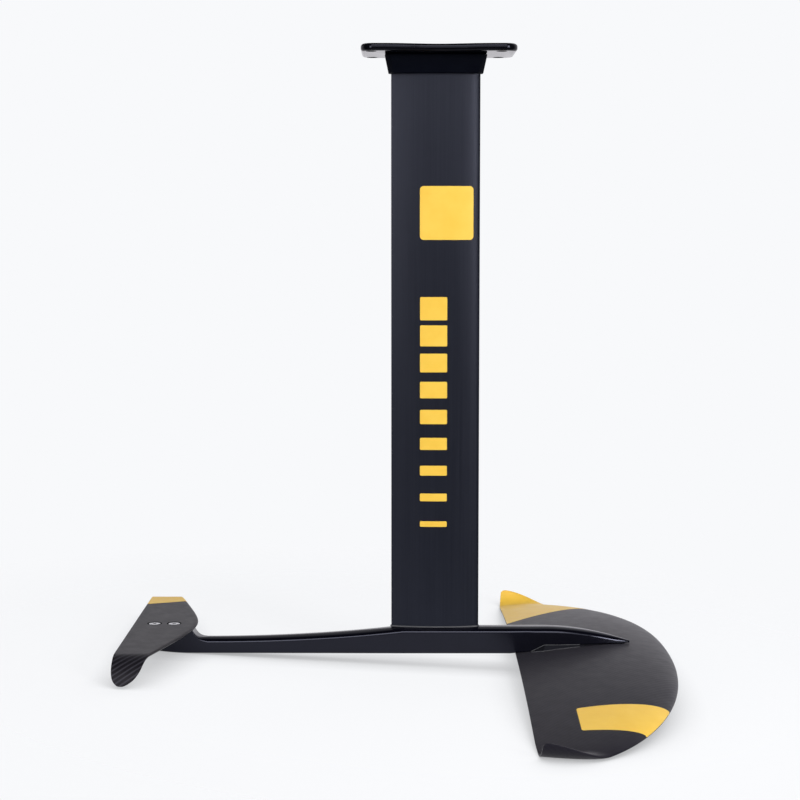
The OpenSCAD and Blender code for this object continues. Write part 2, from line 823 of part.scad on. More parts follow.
// Pad that fills the space between the flat seat and the curved wing
pad_x1 = nose_x - pad_nose;
pad_stations = concat([ramp_x0], steps(ramp_x1, pad_x1, pad_n), [pad_x1]);

function pad_ring(x) =
    let (
        top = fus_bottom(x),
        low = wing_te_z + wing_chord_line(1 - (x - wing_te_x) / wing_chord, 0),
        half = fus_half(x) - pad_in
    )
    [[x, -half - pad_flare, low], [x, half + pad_flare, low], [x, half, top], [x, -half, top]];

module front_wing_pad() {
    color([0.09, 0.09, 0.1])
    difference() {
        loft([for (x = pad_stations) pad_ring(x)]);
        loft(wing_rings);
        wing_screw_holes();
    }
}

module front_wing_ferrules() {
    color([0.5, 0.51, 0.53])
    difference() {
        intersection() {
            wing_ferrule_seats();
            loft(wing_rings);
        }
        for (x = wing_screws)
            translate([x, 0, wing_head_z(x)])
                rotate([180, 0, 0])
                    sunk_hole(screw_hole_r, head_hole_r, over);
    }
}

module front_wing_screws() {
    color([0.62, 0.63, 0.65])
    for (x = wing_screws)
        translate([x, 0, wing_head_z(x)])
            rotate([180, 0, 0])
                sunk_screw(screw_d, screw_head_d, seat_z + fus_insert_l - wing_head_z(x));
}

module front_wing_inserts() {
    color([0.55, 0.56, 0.58])
    for (x = wing_screws)
        translate([x, 0, seat_z])
            insert(fus_insert_l);
}

// Stabilizer

// Share of the way along the turned-down tip at y
function stab_turn(y) = max(0, (abs(y) - stab_flat_y) / (stab_half_span - stab_flat_y));

// How far round the tip's outline y has come
function stab_round(y) =
    max(0, (stab_turn(y) - stab_round_from) / (1 - stab_round_from)) ^ stab_round_power;

function stab_le(y) =
    stab_apex_x - stab_sweep * (sqrt(y ^ 2 + stab_apex_r ^ 2) - stab_apex_r)
        - stab_round_le * stab_round(y);
function stab_te(y) = stab_te_x + stab_round_te * stab_round(y);

// Depth of the belly below the flat top at share f and distance y
function stab_depth(f, y) =
    let (
        t = stab_t * sqrt((stab_le(y) - stab_te(y)) / stab_chord),
        front = (stab_crest - f) / stab_crest,
        back = (f - stab_crest) / (1 - stab_crest)
    )
    f < stab_crest
        ? stab_le_h + (t - stab_le_h) * sqrt(max(0, 1 - front ^ stab_front_power))
        : t - (t - stab_te_t) * back ^ stab_back_power;

// Point on the section at y: share f of the chord, depth d below the flat top
function stab_point(f, d, y) =
    let (
        side = y < 0 ? -1 : 1,
        turn = stab_turn(y),
        slope = stab_drop * stab_bend / (stab_half_span - stab_flat_y) * turn ^ (stab_bend - 1),
        a = side * atan(slope)
    )
    [stab_le(y) - f * (stab_le(y) - stab_te(y)), y - d * sin(a),
        stab_z - stab_drop * turn ^ stab_bend - d * cos(a)];

function stab_ring(y) = concat(
    [stab_point(1, 0, y)],
    [for (a = [90, 45]) stab_point(stab_lip * (1 - cos(a)), stab_le_h * (1 - sin(a)), y)],
    [for (i = [0 : stab_n]) let (f = cosine_step(i, stab_n)) stab_point(f, stab_depth(f, y), y)]
);

stab_half_stations = concat(
    [for (i = [0 : stab_flat_n - 1]) stab_flat_y * (i / stab_flat_n) ^ stab_spacing],
    [for (i = [0 : stab_tip_n]) stab_flat_y + (stab_half_span - stab_flat_y) * sin(90 * i / stab_tip_n)]
);
stab_stations = concat(
    [for (i = [len(stab_half_stations) - 1 : -1 : 1]) -stab_half_stations[i]],
    stab_half_stations
);
stab_rings = [for (y = stab_stations) stab_ring(y)];

// Height of the stabilizer's belly on the centreline
function stab_belly_z(x) =
    stab_z - stab_depth(min(1, max(0, (stab_apex_x - x) / stab_chord)), 0);

// Height of the stabilizer screws' heads, just below its flat top
stab_head_z = stab_z - head_recess;

// Seats of the ferrules, open upwards, with carbon left below all of their floor
module stab_ferrule_seats() {
    r = stab_ferrule_d / 2;
    for (x = stab_screws)
        translate([x, 0, stab_ferrule_floor + max([for (d = [-r, 0, r]) stab_belly_z(x + d)])])
            cylinder(r = r, h = over);
}

module stabilizer() {
    color([0.2, 0.2, 0.21])
    difference() {
        loft(stab_rings);
        stab_ferrule_seats();
        for (x = stab_screws)
            translate([x, 0, stab_z - over])
                cylinder(r = screw_hole_r, h = 2 * over);
    }
}

module stabilizer_ferrules() {
    color([0.07, 0.07, 0.08])
    difference() {
        intersection() {
            stab_ferrule_seats();
            loft(stab_rings);
        }
        for (x = stab_screws)
            translate([x, 0, stab_head_z])
                sunk_hole(screw_hole_r, head_hole_r, over);
    }
}

module stabilizer_screws() {
    color([0.78, 0.79, 0.8])
    for (x = stab_screws)
        translate([x, 0, stab_head_z])
            sunk_screw(screw_d, screw_head_d, stab_head_z - stab_insert_z(x) + fus_insert_l);
}

module stabilizer_inserts() {
    color([0.55, 0.56, 0.58])
    for (x = stab_screws)
        translate([x, 0, stab_insert_z(x) - fus_insert_l])
            insert(fus_insert_l);
}

board_plate();
mast_collar();
collar_screws();
head_screws();
head_block();
head_inserts();
mast();
foot_block();
foot_inserts();
foot_screws();
fuselage();
front_wing();
front_wing_core();
front_wing_block();
front_wing_pad();
front_wing_ferrules();
front_wing_screws();
front_wing_inserts();
stabilizer();
stabilizer_ferrules();
stabilizer_screws();
stabilizer_inserts();
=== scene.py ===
# Looks of a hydrofoil: smooth plate, mast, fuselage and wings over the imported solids.
import math

import bpy
import numpy as np
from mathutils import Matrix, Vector


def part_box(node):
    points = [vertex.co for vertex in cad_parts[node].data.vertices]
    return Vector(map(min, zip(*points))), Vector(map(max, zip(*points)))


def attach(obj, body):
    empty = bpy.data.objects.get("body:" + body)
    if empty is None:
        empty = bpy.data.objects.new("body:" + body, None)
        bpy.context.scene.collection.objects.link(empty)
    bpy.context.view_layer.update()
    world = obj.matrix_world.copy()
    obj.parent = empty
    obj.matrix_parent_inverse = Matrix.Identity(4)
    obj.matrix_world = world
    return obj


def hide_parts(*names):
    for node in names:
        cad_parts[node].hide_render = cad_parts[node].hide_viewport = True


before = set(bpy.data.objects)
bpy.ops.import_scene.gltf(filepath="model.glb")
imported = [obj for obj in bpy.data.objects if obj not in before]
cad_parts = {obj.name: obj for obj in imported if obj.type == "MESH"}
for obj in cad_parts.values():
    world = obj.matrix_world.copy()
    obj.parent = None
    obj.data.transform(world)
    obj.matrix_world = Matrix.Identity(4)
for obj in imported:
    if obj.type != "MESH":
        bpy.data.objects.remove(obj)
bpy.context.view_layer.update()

# Lengths below are in millimetres, in the frame of the solids
MM = 0.001
# How far cutters stand out of a piece, how far where there is room, and how far two of them overlap
cut_past = 5
cut_clear = 30
cut_overlap = 1


def box_mm(node):
    """Lowest and highest corner of a node, in millimetres."""
    low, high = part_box(node)
    return np.array(low) / MM, np.array(high) / MM


# Board plate
plate_low, plate_high = box_mm("board_plate")
plate_l, plate_w, plate_t = plate_high - plate_low
plate_ahead = (plate_low[0] + plate_high[0]) / 2
plate_corner_r = 18
plate_edge_r = 4
waist_depth = 11
waist_power = 3
bolt_dx = 172
bolt_dy = 90
bolt_hole_r = 4.25
bolt_head_r = 7.5

# Collar
collar_low, collar_high = box_mm("mast_collar")
collar_bottom_l = 127
collar_bottom_w = 29
collar_chamfer = 7
collar_lip_h = 1.5
collar_lip_in = 2
collar_edge_r = 0.7
collar_edge_angle = 15
collar_screw_x = 46
collar_screw_y = 12.5
collar_screw_hole_r = 2.75
collar_screw_seat_r = 5.25

# Mast
mast_low, mast_high = box_mm("mast")
mast_chord = mast_high[0] - mast_low[0]
mast_t = mast_high[1] - mast_low[1]
mast_foot_z = mast_low[2]
mast_top_z = mast_high[2]
mast_crest = 0.45
mast_te_t = 2.4
mast_taper = 2.2
mast_wall = 2.6
mast_chamber = 36
mast_web = 4
mast_front_solid = 9
mast_rear_solid = 14
mast_fit = 0.15
# Seal round the foot of the mast, whose pale grey paints the highlight line there: distances out of its skin
# and heights over the fuselage
bead_profile = [(0.05, -0.4), (1.1, -0.4), (1.4, 0.4), (1.2, 1.3), (0.5, 1.7), (0.05, 1.5)]
mast_screw_pitch = 24
mast_screws = [-mast_screw_pitch, 0, mast_screw_pitch]
screw_hole_r = 4.25
head_hole_r = 8.25

# Front wing, whose trailing edge lies level with the fuselage's underside
fus_low, fus_high = box_mm("fuselage")
fus_bottom_z = fus_low[2]
wing_low, wing_high = box_mm("front_wing")
wing_te_x = wing_low[0]
wing_chord = wing_high[0] - wing_low[0]
wing_flat_y = 409
wing_tip_r = 27.5
wing_tip_angle = math.radians(77)
wing_droop = 24
wing_upper = 15.5
wing_lower = 7.5
wing_te_t = 1.4
wing_te_z = fus_bottom_z - wing_te_t / 2
wing_nose_down = 5
# Powers of the outline seen from above: of the distance from the middle, and of the chord
plan_p = 2.25
plan_q = 1.88
wing_tip_chord = 14
wing_tip_rake = 5
wing_rake_lead = 45
wing_corner_r = 5
wing_thin = 0.17
wing_screw_x = 168
wing_screw_pitch = 28
wing_screws = [wing_screw_x + i * wing_screw_pitch for i in range(3)]
wing_ferrule_r = 10
wing_ferrule_h = 6
wing_cut_clear = 20
tip_start = -math.atan(2 * wing_droop / wing_flat_y)
tip_arc = wing_tip_r * (wing_tip_angle - tip_start)
wing_half_arc = wing_flat_y + tip_arc
plan_reach = wing_half_arc / (1 - (wing_tip_chord / wing_chord) ** plan_q) ** (1 / plan_p)

# Stabilizer
stab_low, stab_high = box_mm("stabilizer")
stab_te_x = stab_low[0]
stab_apex_x = stab_high[0]
stab_top_z = stab_high[2]
stab_sweep = 0.3
stab_apex_r = 52
stab_flat_y = 174
stab_half_span = 222
stab_round_from = 0.56
stab_round_le = 12
stab_round_te = 5
stab_round_power = 3
stab_corner_from = 0.86
stab_corner = 7
stab_drop = 32
stab_bend = 2.6
stab_t = 8
stab_te_t = 1.2
stab_crest = 0.35
stab_front_power = 2.6
stab_back_power = 3
stab_le_h = 1.5
stab_lip = 0.06
stab_screw_x = -387
stab_screw_pitch = 27
stab_screws = [stab_screw_x, stab_screw_x + stab_screw_pitch]
stab_ferrule_r = 10
stab_ferrule_floor = 1.3
stab_chord = stab_apex_x - stab_te_x

# Fuselage
fus_top_z = mast_foot_z + 6
fus_half_w = 17
boom_half_w = 14
shoulder_h = 7
shoulder_power = 2.2
shoulder_share = 0.19
nose_shoulder_share = 0.9
most_shoulder_share = 0.74
crown_flat = 0.1
boom_shoulder_h = 6.5
boom_shoulder_power = 2
boom_shoulder_share = 0.31
boom_blend = 60
fus_edge_r = 4
seat_edge_r = 1.5
nose_x = fus_high[0]
nose_drop_x = 150
nose_taper_x = 130
nose_tip_t = 2.8
nose_plan_power = 0.75
nose_past = 3
kink_x = -45
boom_drop = 14.5
boom_top_z = fus_top_z - boom_drop
tail_rise_x = -335
tail_rise = 8
tail_x = fus_low[0]
tail_round = 14
tail_past = 1
pedestal_x = stab_apex_x + 15
pedestal_fillet = 20
pedestal_h = 10.8
pedestal_power = 3.6
seat_gap = 0.1
ramp_start = 21
ramp_l = 18
ramp_lead = 8
edge_blend = 12
pad_min = 0.6
pad_in = 0.4
pad_flare = 9
pad_rim_x = 199
pad_rim_r = 0.55


# Meshes

def add_mesh(name, points, faces, uvs=None):
    """A new mesh object from points in millimetres."""
    mesh = bpy.data.meshes.new(name)
    mesh.from_pydata((np.asarray(points, float) * MM).tolist(), [], faces)
    if uvs is not None:
        layer = mesh.uv_layers.new(name="Surface")
        corner_points = np.zeros(len(mesh.loops), np.int32)
        mesh.loops.foreach_get("vertex_index", corner_points)
        layer.data.foreach_set("uv", np.asarray(uvs, np.float32)[corner_points].ravel())
    mesh.update()
    obj = bpy.data.objects.new(name, mesh)
    bpy.context.scene.collection.objects.link(obj)
    return obj


def loft_faces(rows, columns):
    """Faces through closed rings, with the first and last ring filled."""
    faces = []
    for j in range(rows - 1):
        for i in range(columns):
            a, b = j * columns + i, j * columns + (i + 1) % columns
            faces.append((a, b, b + columns, a + columns))
    faces.append(tuple(range(columns - 1, -1, -1)))
    faces.append(tuple(range((rows - 1) * columns, rows * columns)))
    return faces


def tube_faces(rows, columns):
    """Faces through closed rings that come back to the first one."""
    return loft_faces(rows, columns)[:-2]


def loft(name, rings, uvs=None):
    """A closed solid through rings that all have the same number of points."""
    rings = np.asarray(rings, float)
    rows, columns = rings.shape[:2]
    if uvs is not None:
        uvs = np.asarray(uvs, float).reshape(-1, 2)
    obj = add_mesh(name, rings.reshape(-1, 3), loft_faces(rows, columns), uvs)
    face_outwards(obj)
    return obj


def face_outwards(obj):
    """Turns a closed mesh so that its volume is positive."""
    mesh = obj.data
    mesh.calc_loop_triangles()
    points = np.zeros(len(mesh.vertices) * 3)
    mesh.vertices.foreach_get("co", points)
    points = points.reshape(-1, 3)
    corners = np.zeros(len(mesh.loop_triangles) * 3, np.int32)
    mesh.loop_triangles.foreach_get("vertices", corners)
    a, b, c = points[corners.reshape(-1, 3)].transpose(1, 0, 2)
    if np.einsum("ij,ij->i", a, np.cross(b, c)).sum() < 0:
        mesh.flip_normals()


def turned(profile, centre, steps=64):
    """Rings of a solid turned about an upright axis; profile holds (radius, height)."""
    angles = np.linspace(0, 2 * math.pi, steps, endpoint=False)
    return [
        np.stack([
            centre[0] + r * np.cos(angles),
            centre[1] + r * np.sin(angles),
            np.full(steps, z),
        ], 1)
        for r, z in profile
    ]


def sunk_profile(hole_r, head_r, face_z, far_z):
    """Countersunk hole that opens at face_z and runs to far_z."""
    out = math.copysign(cut_past, face_z - far_z)
    sink = math.copysign(head_r - hole_r, face_z - far_z)
    return [(hole_r, far_z), (hole_r, face_z - sink), (head_r, face_z), (head_r, face_z + out)]


def hole_cutters(profile, places):
    """Turned cutters with one profile, at each of the places."""
    return [loft("cutter", turned(profile, place)) for place in places]


def corners(x, y):
    """The four corners of a rectangle about the origin."""
    return [(-x, -y), (-x, y), (x, -y), (x, y)]


def cut(obj, cutters):
    """Cuts closed solids out of a piece and deletes them."""
    for cutter in cutters:
        modifier = obj.modifiers.new("cut", "BOOLEAN")
        modifier.operation = "DIFFERENCE"
        modifier.solver = "EXACT"
        modifier.object = cutter
    apply_modifiers(obj)
    for cutter in cutters:
        bpy.data.objects.remove(cutter)


def apply_modifiers(obj):
    bpy.context.view_layer.update()
    graph = bpy.context.evaluated_depsgraph_get()
    mesh = bpy.data.meshes.new_from_object(obj.evaluated_get(graph))
    obj.modifiers.clear()
    obj.data = mesh
    mesh.name = obj.name


def finish_piece(obj, material, nodes=(), sharp=30):
    """Smooth shading, a material, a body and the nodes that the piece stands for."""
    obj.data.materials.clear()
    obj.data.materials.append(material)
    obj.data.shade_smooth()
    obj.data.set_sharp_from_angle(angle=math.radians(sharp))
    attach(obj, "root")
    if nodes:
        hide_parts(*nodes)


def cosine_steps(n):
    """Shares from 0 to 1, finer at both ends."""
    return (1 - np.cos(np.linspace(0, math.pi, n + 1))) / 2


# Shader nodes

class Nodes:
    """A node tree with helpers to build it."""

    def __init__(self, tree):
        self.tree = tree

    def node(self, kind, inputs=None, **settings):
        made = self.tree.nodes.new(kind)
        for key, value in settings.items():
            setattr(made, key, value)
        for key, value in (inputs or {}).items():
            if isinstance(value, bpy.types.NodeSocket):
                self.tree.links.new(value, made.inputs[key])
            else:
                made.inputs[key].default_value = value
        return made

    def math(self, operation, a, b=0.0):
        return self.node("ShaderNodeMath", {0: a, 1: b}, operation=operation).outputs[0]

    def blended(self, first, second, share):
        """The first value by a share and the second one by the rest."""
        rest = self.math("MULTIPLY", second, 1 - share)
        return self.math("ADD", self.math("MULTIPLY", first, share), rest)

    def ranged(self, value, low, high, start=0.3, end=0.7):
        """Runs from low to high while the value runs from start to end."""
        inputs = {"Value": value, "From Min": start, "From Max": end, "To Min": low, "To Max": high}
        return self.node("ShaderNodeMapRange", inputs).outputs["Result"]


class Shader(Nodes):
    """A material with a Principled shader."""

    def __init__(self, name, **values):
        self.material = bpy.data.materials.new(name)
        self.material.use_nodes = True
        super().__init__(self.material.node_tree)
        self.surface = self.tree.nodes["Principled BSDF"]
        for key, value in values.items():
            self.surface.inputs[key.replace("_", " ")].default_value = value

    def link(self, socket, key):
        self.tree.links.new(socket, self.surface.inputs[key])

    def stretched(self, scale):
        """Object coordinates, in metres, times a scale for each axis."""
        place = self.node("ShaderNodeTexCoord").outputs["Object"]
        return self.node("ShaderNodeMapping", {"Vector": place, "Scale": scale}).outputs[0]

    def noise(self, scale, detail=3.0, vector=None):
        inputs = {"Scale": scale, "Detail": detail, "Roughness": 0.6}
        inputs["Vector"] = vector or self.node("ShaderNodeTexCoord").outputs["Object"]
        return self.node("ShaderNodeTexNoise", inputs).outputs["Fac"]

    def mixed(self, factor, first, second):
        """Colour between two colours."""
        mix = self.node("ShaderNodeMix", data_type="RGBA")
        for socket, value in zip([s for s in mix.inputs if s.type == "RGBA"], (first, second)):
            if isinstance(value, bpy.types.NodeSocket):
                self.tree.links.new(value, socket)
            else:
                socket.default_value = (*value, 1)
        self.tree.links.new(factor, mix.inputs[0])
        return [s for s in mix.outputs if s.type == "RGBA"][0]

    def bump(self, height, strength, depth):
        inputs = {"Height": height, "Strength": strength, "Distance": depth}
        self.link(self.node("ShaderNodeBump", inputs).outputs["Normal"], "Normal")


# Share of the fine pattern in the tone of a finish, against clouds: streaks on metal and the weave of carbon
streak_share, weave_share = 0.7, 0.35


def speckled(name, dark, light, rough, grain, depth, strength, **values):
    """Blotches of two close colours, uneven gloss and a fine grain, whose depth is in metres."""
    s = Shader(name, **values)
    blotch = s.noise(35.0, 4.0)
    s.link(s.mixed(s.ranged(blotch, 0, 1), dark, light), "Base Color")
    s.link(s.ranged(s.noise(120.0, 4.0), rough[0], rough[1]), "Roughness")
    s.bump(s.noise(grain, 2.0), strength, depth)
    return s.material


def brushed(name, dark, light, rough, along, **values):
    """Metal with fine streaks; along is the scale of the noise on each axis."""
    s = Shader(name, **values)
    streak = s.noise(1.0, 4.0, s.stretched(along))
    cloud = s.noise(9.0, 3.0)
    tone = s.ranged(s.blended(streak, cloud, streak_share), 0, 1, 0.35, 0.65)
    s.link(s.mixed(tone, dark, light), "Base Color")
    s.link(s.ranged(streak, rough[0], rough[1]), "Roughness")
    s.bump(streak, strength=0.12, depth=0.00003)
    return s.material


def tip_sheen_streaks(s, pitch):
    """Slanted lighter stripes, a painted sheen of the carbon's layers, on the parts of the stabilizer that
    turn down.
    """
    coordinates = s.node("ShaderNodeTexCoord").outputs["Object"]
    place = s.node("ShaderNodeSeparateXYZ", {0: coordinates}).outputs
    out = s.math("ABSOLUTE", place["Y"])
    slant = 0.0
    for distance, share in zip((place["X"], out, place["Z"]), sheen_streak_across):
        slant = s.math("ADD", s.math("MULTIPLY", distance, share), slant)
    wave = s.math("SINE", s.math("MULTIPLY", slant, 2 * math.pi / (pitch * MM)))
    shown = s.ranged(out, sheen_streak_flat_share, 1.0, sheen_streak_from * MM, sheen_streak_to * MM)
    return s.math("MULTIPLY", s.math("MAXIMUM", wave, 0.0), shown)


def carbon(name, dark, light, rough, gloss, tow, streaks=0.0):
    """Satin carbon in a two-by-two twill, with lighter stripes on request that paint the sheen of its
    layers. The tows' width and the streaks' pitch are in millimetres.
    """
    s = Shader(name, Specular_IOR_Level=gloss, Specular_Tint=carbon_tint, Sheen_Weight=0.05,
               Sheen_Roughness=0.45, Sheen_Tint=(0.95, 0.92, 1.0, 1))
    uv = s.node("ShaderNodeUVMap", uv_map="Surface").outputs[0]
    split = s.node("ShaderNodeSeparateXYZ", {0: uv})
    u = s.math("DIVIDE", split.outputs[0], tow * MM)
    v = s.math("DIVIDE", split.outputs[1], tow * MM)
    step = s.math("SUBTRACT", s.math("FLOOR", u), s.math("FLOOR", v))
    over = s.math("LESS_THAN", s.math("FLOORED_MODULO", step, 4.0), 2.0)
    tone = s.ranged(s.blended(over, s.noise(14.0, 4.0), weave_share), 0, 1, 0.2, 0.9)
    cloth = s.mixed(tone, dark, light)
    if streaks:
        # Lighter stripes painted into the colour as the sheen of the carbon's layers
        cloth = s.mixed(tip_sheen_streaks(s, streaks), cloth, sheen_streak_grey)
    s.link(cloth, "Base Color")
    s.link(s.math("ADD", s.math("MULTIPLY", over, 0.05), s.ranged(s.noise(60.0), *rough)), "Roughness")
    ridge = s.math("SINE", s.math("MULTIPLY", u, 2 * math.pi))
    groove = s.math("SINE", s.math("MULTIPLY", v, 2 * math.pi))
    s.bump(s.math("ADD", ridge, groove), strength=0.1, depth=0.00001)
    return s.material


# Tint of the gloss on the black finishes and on the carbon
cool_tint = (0.76, 0.78, 1.0, 1.0)
carbon_tint = (1.0, 0.955, 1.0, 1.0)
# Painted sheen: lighter stripes that stand for the carbon's layers on the turned-down ends of the
# stabilizer: their colour, how much X, the distance from the middle and Z count across them, the share that
# shows on the flat part, and where they start and show in full
sheen_streak_grey = (0.034, 0.033, 0.042)
sheen_streak_across = (0.53, 0.3, -0.64)
sheen_streak_flat_share = 0.12
sheen_streak_from, sheen_streak_to = stab_flat_y - 4, stab_flat_y + 16

plate_gloss = speckled(
    "plate_gloss", (0.002, 0.002, 0.003), (0.004, 0.004, 0.006), (0.07, 0.13),
    grain=260.0, depth=0.00002, strength=0.08, Specular_IOR_Level=0.16, Specular_Tint=cool_tint)
collar_black = speckled(
    "collar_black", (0.001, 0.0015, 0.005), (0.002, 0.003, 0.007), (0.5, 0.65),
    grain=1400.0, depth=0.00006, strength=0.35, Specular_IOR_Level=0.05)
mast_anodised = brushed(
    "mast_anodised", (0.003, 0.0042, 0.0085), (0.007, 0.0085, 0.014), (0.36, 0.46), (900.0, 900.0, 5.0),
    Specular_IOR_Level=0.3, Specular_Tint=cool_tint)
fuselage_black = speckled(
    "fuselage_black", (0.001, 0.001, 0.003), (0.002, 0.002, 0.005), (0.12, 0.18),
    grain=700.0, depth=0.00003, strength=0.1, Specular_IOR_Level=0.4, Specular_Tint=cool_tint)
pad_black = speckled(
    "pad_black", (0.001, 0.001, 0.0015), (0.002, 0.002, 0.0025), (0.2, 0.3),
    grain=900.0, depth=0.00004, strength=0.2, Specular_IOR_Level=0.05, Specular_Tint=cool_tint)
wing_carbon = carbon(
    "wing_carbon", (0.0055, 0.005, 0.0105), (0.0105, 0.0095, 0.0155), (0.36, 0.42), gloss=0.19, tow=2.0)
# The stabilizer's carbon carries the painted sheen stripes on its turned-down ends
stab_carbon = carbon(
    "stab_carbon", (0.004, 0.0035, 0.006), (0.009, 0.008, 0.011), (0.36, 0.42), gloss=0.13, tow=2.0,
    streaks=5.0)
# Pale grey of the pad's rims: painted highlights on the pad's rounded edges
highlight_rim_grey = speckled(
    "highlight_rim_grey", (0.03, 0.031, 0.036), (0.045, 0.046, 0.052), (0.35, 0.45),
    grain=900.0, depth=0.00003, strength=0.2)
# Pale grey of the seal at the mast's foot: a painted highlight line
highlight_bead_grey = speckled(
    "highlight_bead_grey", (0.05, 0.051, 0.058), (0.07, 0.071, 0.08), (0.4, 0.5),
    grain=900.0, depth=0.00003, strength=0.2)
print_yellow = speckled(
    "print_yellow", (0.93, 0.57, 0.06), (0.97, 0.62, 0.08), (0.38, 0.5),
    grain=500.0, depth=0.00002, strength=0.1,
    Specular_IOR_Level=0.3, Sheen_Weight=0.12, Sheen_Roughness=0.45)
print_black = speckled(
    "print_black", (0.010, 0.010, 0.012), (0.014, 0.014, 0.016), (0.4, 0.5),
    grain=500.0, depth=0.00002, strength=0.1)
screw_steel = brushed(
    "screw_steel", (0.55, 0.56, 0.58), (0.68, 0.69, 0.7), (0.2, 0.28), (700.0, 700.0, 700.0), Metallic=1.0)
insert_steel = brushed(
    "insert_steel", (0.36, 0.37, 0.39), (0.46, 0.47, 0.49), (0.3, 0.45), (90.0, 90.0, 1600.0), Metallic=1.0)
block_alloy = brushed(
    "block_alloy", (0.5, 0.51, 0.53), (0.62, 0.63, 0.65), (0.3, 0.42), (60.0, 60.0, 900.0), Metallic=1.0)
ferrule_black = speckled(
    "ferrule_black", (0.003, 0.003, 0.004), (0.005, 0.005, 0.006), (0.45, 0.55),
    grain=900.0, depth=0.00003, strength=0.2, Specular_IOR_Level=0.0)
core_foam = speckled(
    "core_foam", (0.62, 0.54, 0.34), (0.74, 0.66, 0.43), (0.8, 0.9),
    grain=1800.0, depth=0.0004, strength=0.6)
block_dense = speckled(
    "block_dense", (0.08, 0.07, 0.055), (0.12, 0.105, 0.08), (0.6, 0.7),
    grain=900.0, depth=0.0001, strength=0.4)


# Board plate

def plate_ring(inset, z, corner_n=24, side_n=48):
    """The plate's waisted outline, set in, at height z."""
    cx, cy = plate_l / 2 - plate_corner_r, plate_w / 2 - plate_corner_r
    r = plate_corner_r - inset
    side_x = np.linspace(-cx, cx, side_n + 1)[1:-1]
    side_y = plate_w / 2 - inset - waist_depth * np.cos(math.pi * side_x / (2 * cx)) ** waist_power
    turns = np.radians(np.linspace(0, 90, corner_n + 1))
    parts = [np.stack([side_x, -side_y], 1)]
    for start, sx, sy in ((-90, 1, -1), (0, 1, 1)):
        a = turns + math.radians(start)
        parts.append(np.stack([sx * cx + r * np.cos(a), sy * cy + r * np.sin(a)], 1))
    parts.append(np.stack([-side_x, side_y], 1))
    for start, sx, sy in ((90, -1, 1), (180, -1, -1)):
        a = turns + math.radians(start)
        parts.append(np.stack([sx * cx + r * np.cos(a), sy * cy + r * np.sin(a)], 1))
    flat = np.concatenate(parts)
    return np.column_stack([flat[:, 0] + plate_ahead, flat[:, 1], np.full(len(flat), z)])


def make_plate(edge_n=9):
    turns = np.radians(np.linspace(0, 90, edge_n))
    rings = [plate_ring(plate_edge_r * (1 - math.sin(a)), -plate_t + plate_edge_r * (1 - math.cos(a)))
             for a in turns]
    rings += [plate_ring(plate_edge_r * (1 - math.cos(a)), -plate_edge_r * (1 - math.sin(a))) for a in turns]
    plate = loft("plate_shell", rings)
    bolts = sunk_profile(bolt_hole_r, bolt_head_r, -plate_t, cut_past)
    heads = sunk_profile(screw_hole_r, head_hole_r, 0, -plate_t - cut_past)
    seats = sunk_profile(collar_screw_hole_r, collar_screw_seat_r, 0, -plate_t - cut_past)
    cutters = hole_cutters(bolts, corners(bolt_dx / 2, bolt_dy / 2))
    cutters += hole_cutters(heads, [(x, 0) for x in mast_screws])
    cutters += hole_cutters(seats, corners(collar_screw_x, collar_screw_y))
    cut(plate, cutters)
    finish_piece(plate, plate_gloss, ["board_plate"])


# Mast and collar

def mast_half(x):
    """Half thickness of the mast at x."""
    f = np.clip(0.5 - np.asarray(x, float) / mast_chord, 0, 1)
    front = np.maximum(0, (mast_crest - f) / mast_crest)
    back = np.maximum(0, (f - mast_crest) / (1 - mast_crest))
    nose = mast_t / 2 * np.sqrt(np.maximum(0, 1 - front ** 2))
    tail = mast_t / 2 - (mast_t - mast_te_t) / 2 * back ** mast_taper
    return np.where(f < mast_crest, nose, tail)


def mast_outline(grown, n=90):
    """Outline of the mast's section, grown on every side."""
    xs = mast_chord * (0.5 - cosine_steps(n))
    halves = mast_half(xs) + grown
    wide = xs * (1 + 2 * grown / mast_chord)
    # Without growth both halves meet in one point at the front, which is kept once
    last = 0 if grown == 0 else None
    return np.concatenate([np.stack([wide, halves], 1), np.stack([wide, -halves], 1)[:last:-1]])


def upright(outline, z):
    return np.column_stack([outline, np.full(len(outline), z)])


def upright_solid(name, outline, z0, z1):
    """A solid with one outline from z0 up to z1."""
    return loft(name, [upright(outline, z0), upright(outline, z1)])


def chamber(x0, x1, n=24):
    """Outline of one of the mast's chambers."""
    xs = np.linspace(x0, x1, n)
    halves = mast_half(xs) - mast_wall
    return np.concatenate([np.stack([xs, -halves], 1), np.stack([xs, halves], 1)[::-1]])


def make_mast():
    mast = upright_solid("mast_extrusion", mast_outline(0), mast_foot_z, mast_top_z)
    web_x = mast_chamber + mast_web
    spans = [
        (-mast_chamber, mast_chamber),
        (web_x, mast_chord / 2 - mast_front_solid),
        (mast_rear_solid - mast_chord / 2, -web_x),
    ]
    cut(mast, [
        upright_solid("cutter", chamber(x0, x1), mast_foot_z - cut_past, mast_top_z + cut_past)
        for x0, x1 in spans
    ])
    finish_piece(mast, mast_anodised, ["mast"])


def make_foot_bead():
    """A thin seal round the mast where it enters the fuselage, in a pale grey that paints the highlight line
    along the foot.
    """
    rings = [upright(mast_outline(grown), fus_top_z + z) for grown, z in bead_profile]
    rings.append(rings[0])
    bead = add_mesh("mast_foot_bead", np.concatenate(rings), tube_faces(len(rings), len(rings[0])))
    face_outwards(bead)
    finish_piece(bead, highlight_bead_grey)


def collar_ring(length, width, z):
    """Rectangle with chamfered corners at height z."""
    x, y, c = length / 2, width / 2, collar_chamfer
    return [
        (x - c, -y, z), (x, c - y, z), (x, y - c, z), (x - c, y, z),
        (c - x, y, z), (-x, y - c, z), (-x, c - y, z), (c - x, -y, z),
    ]


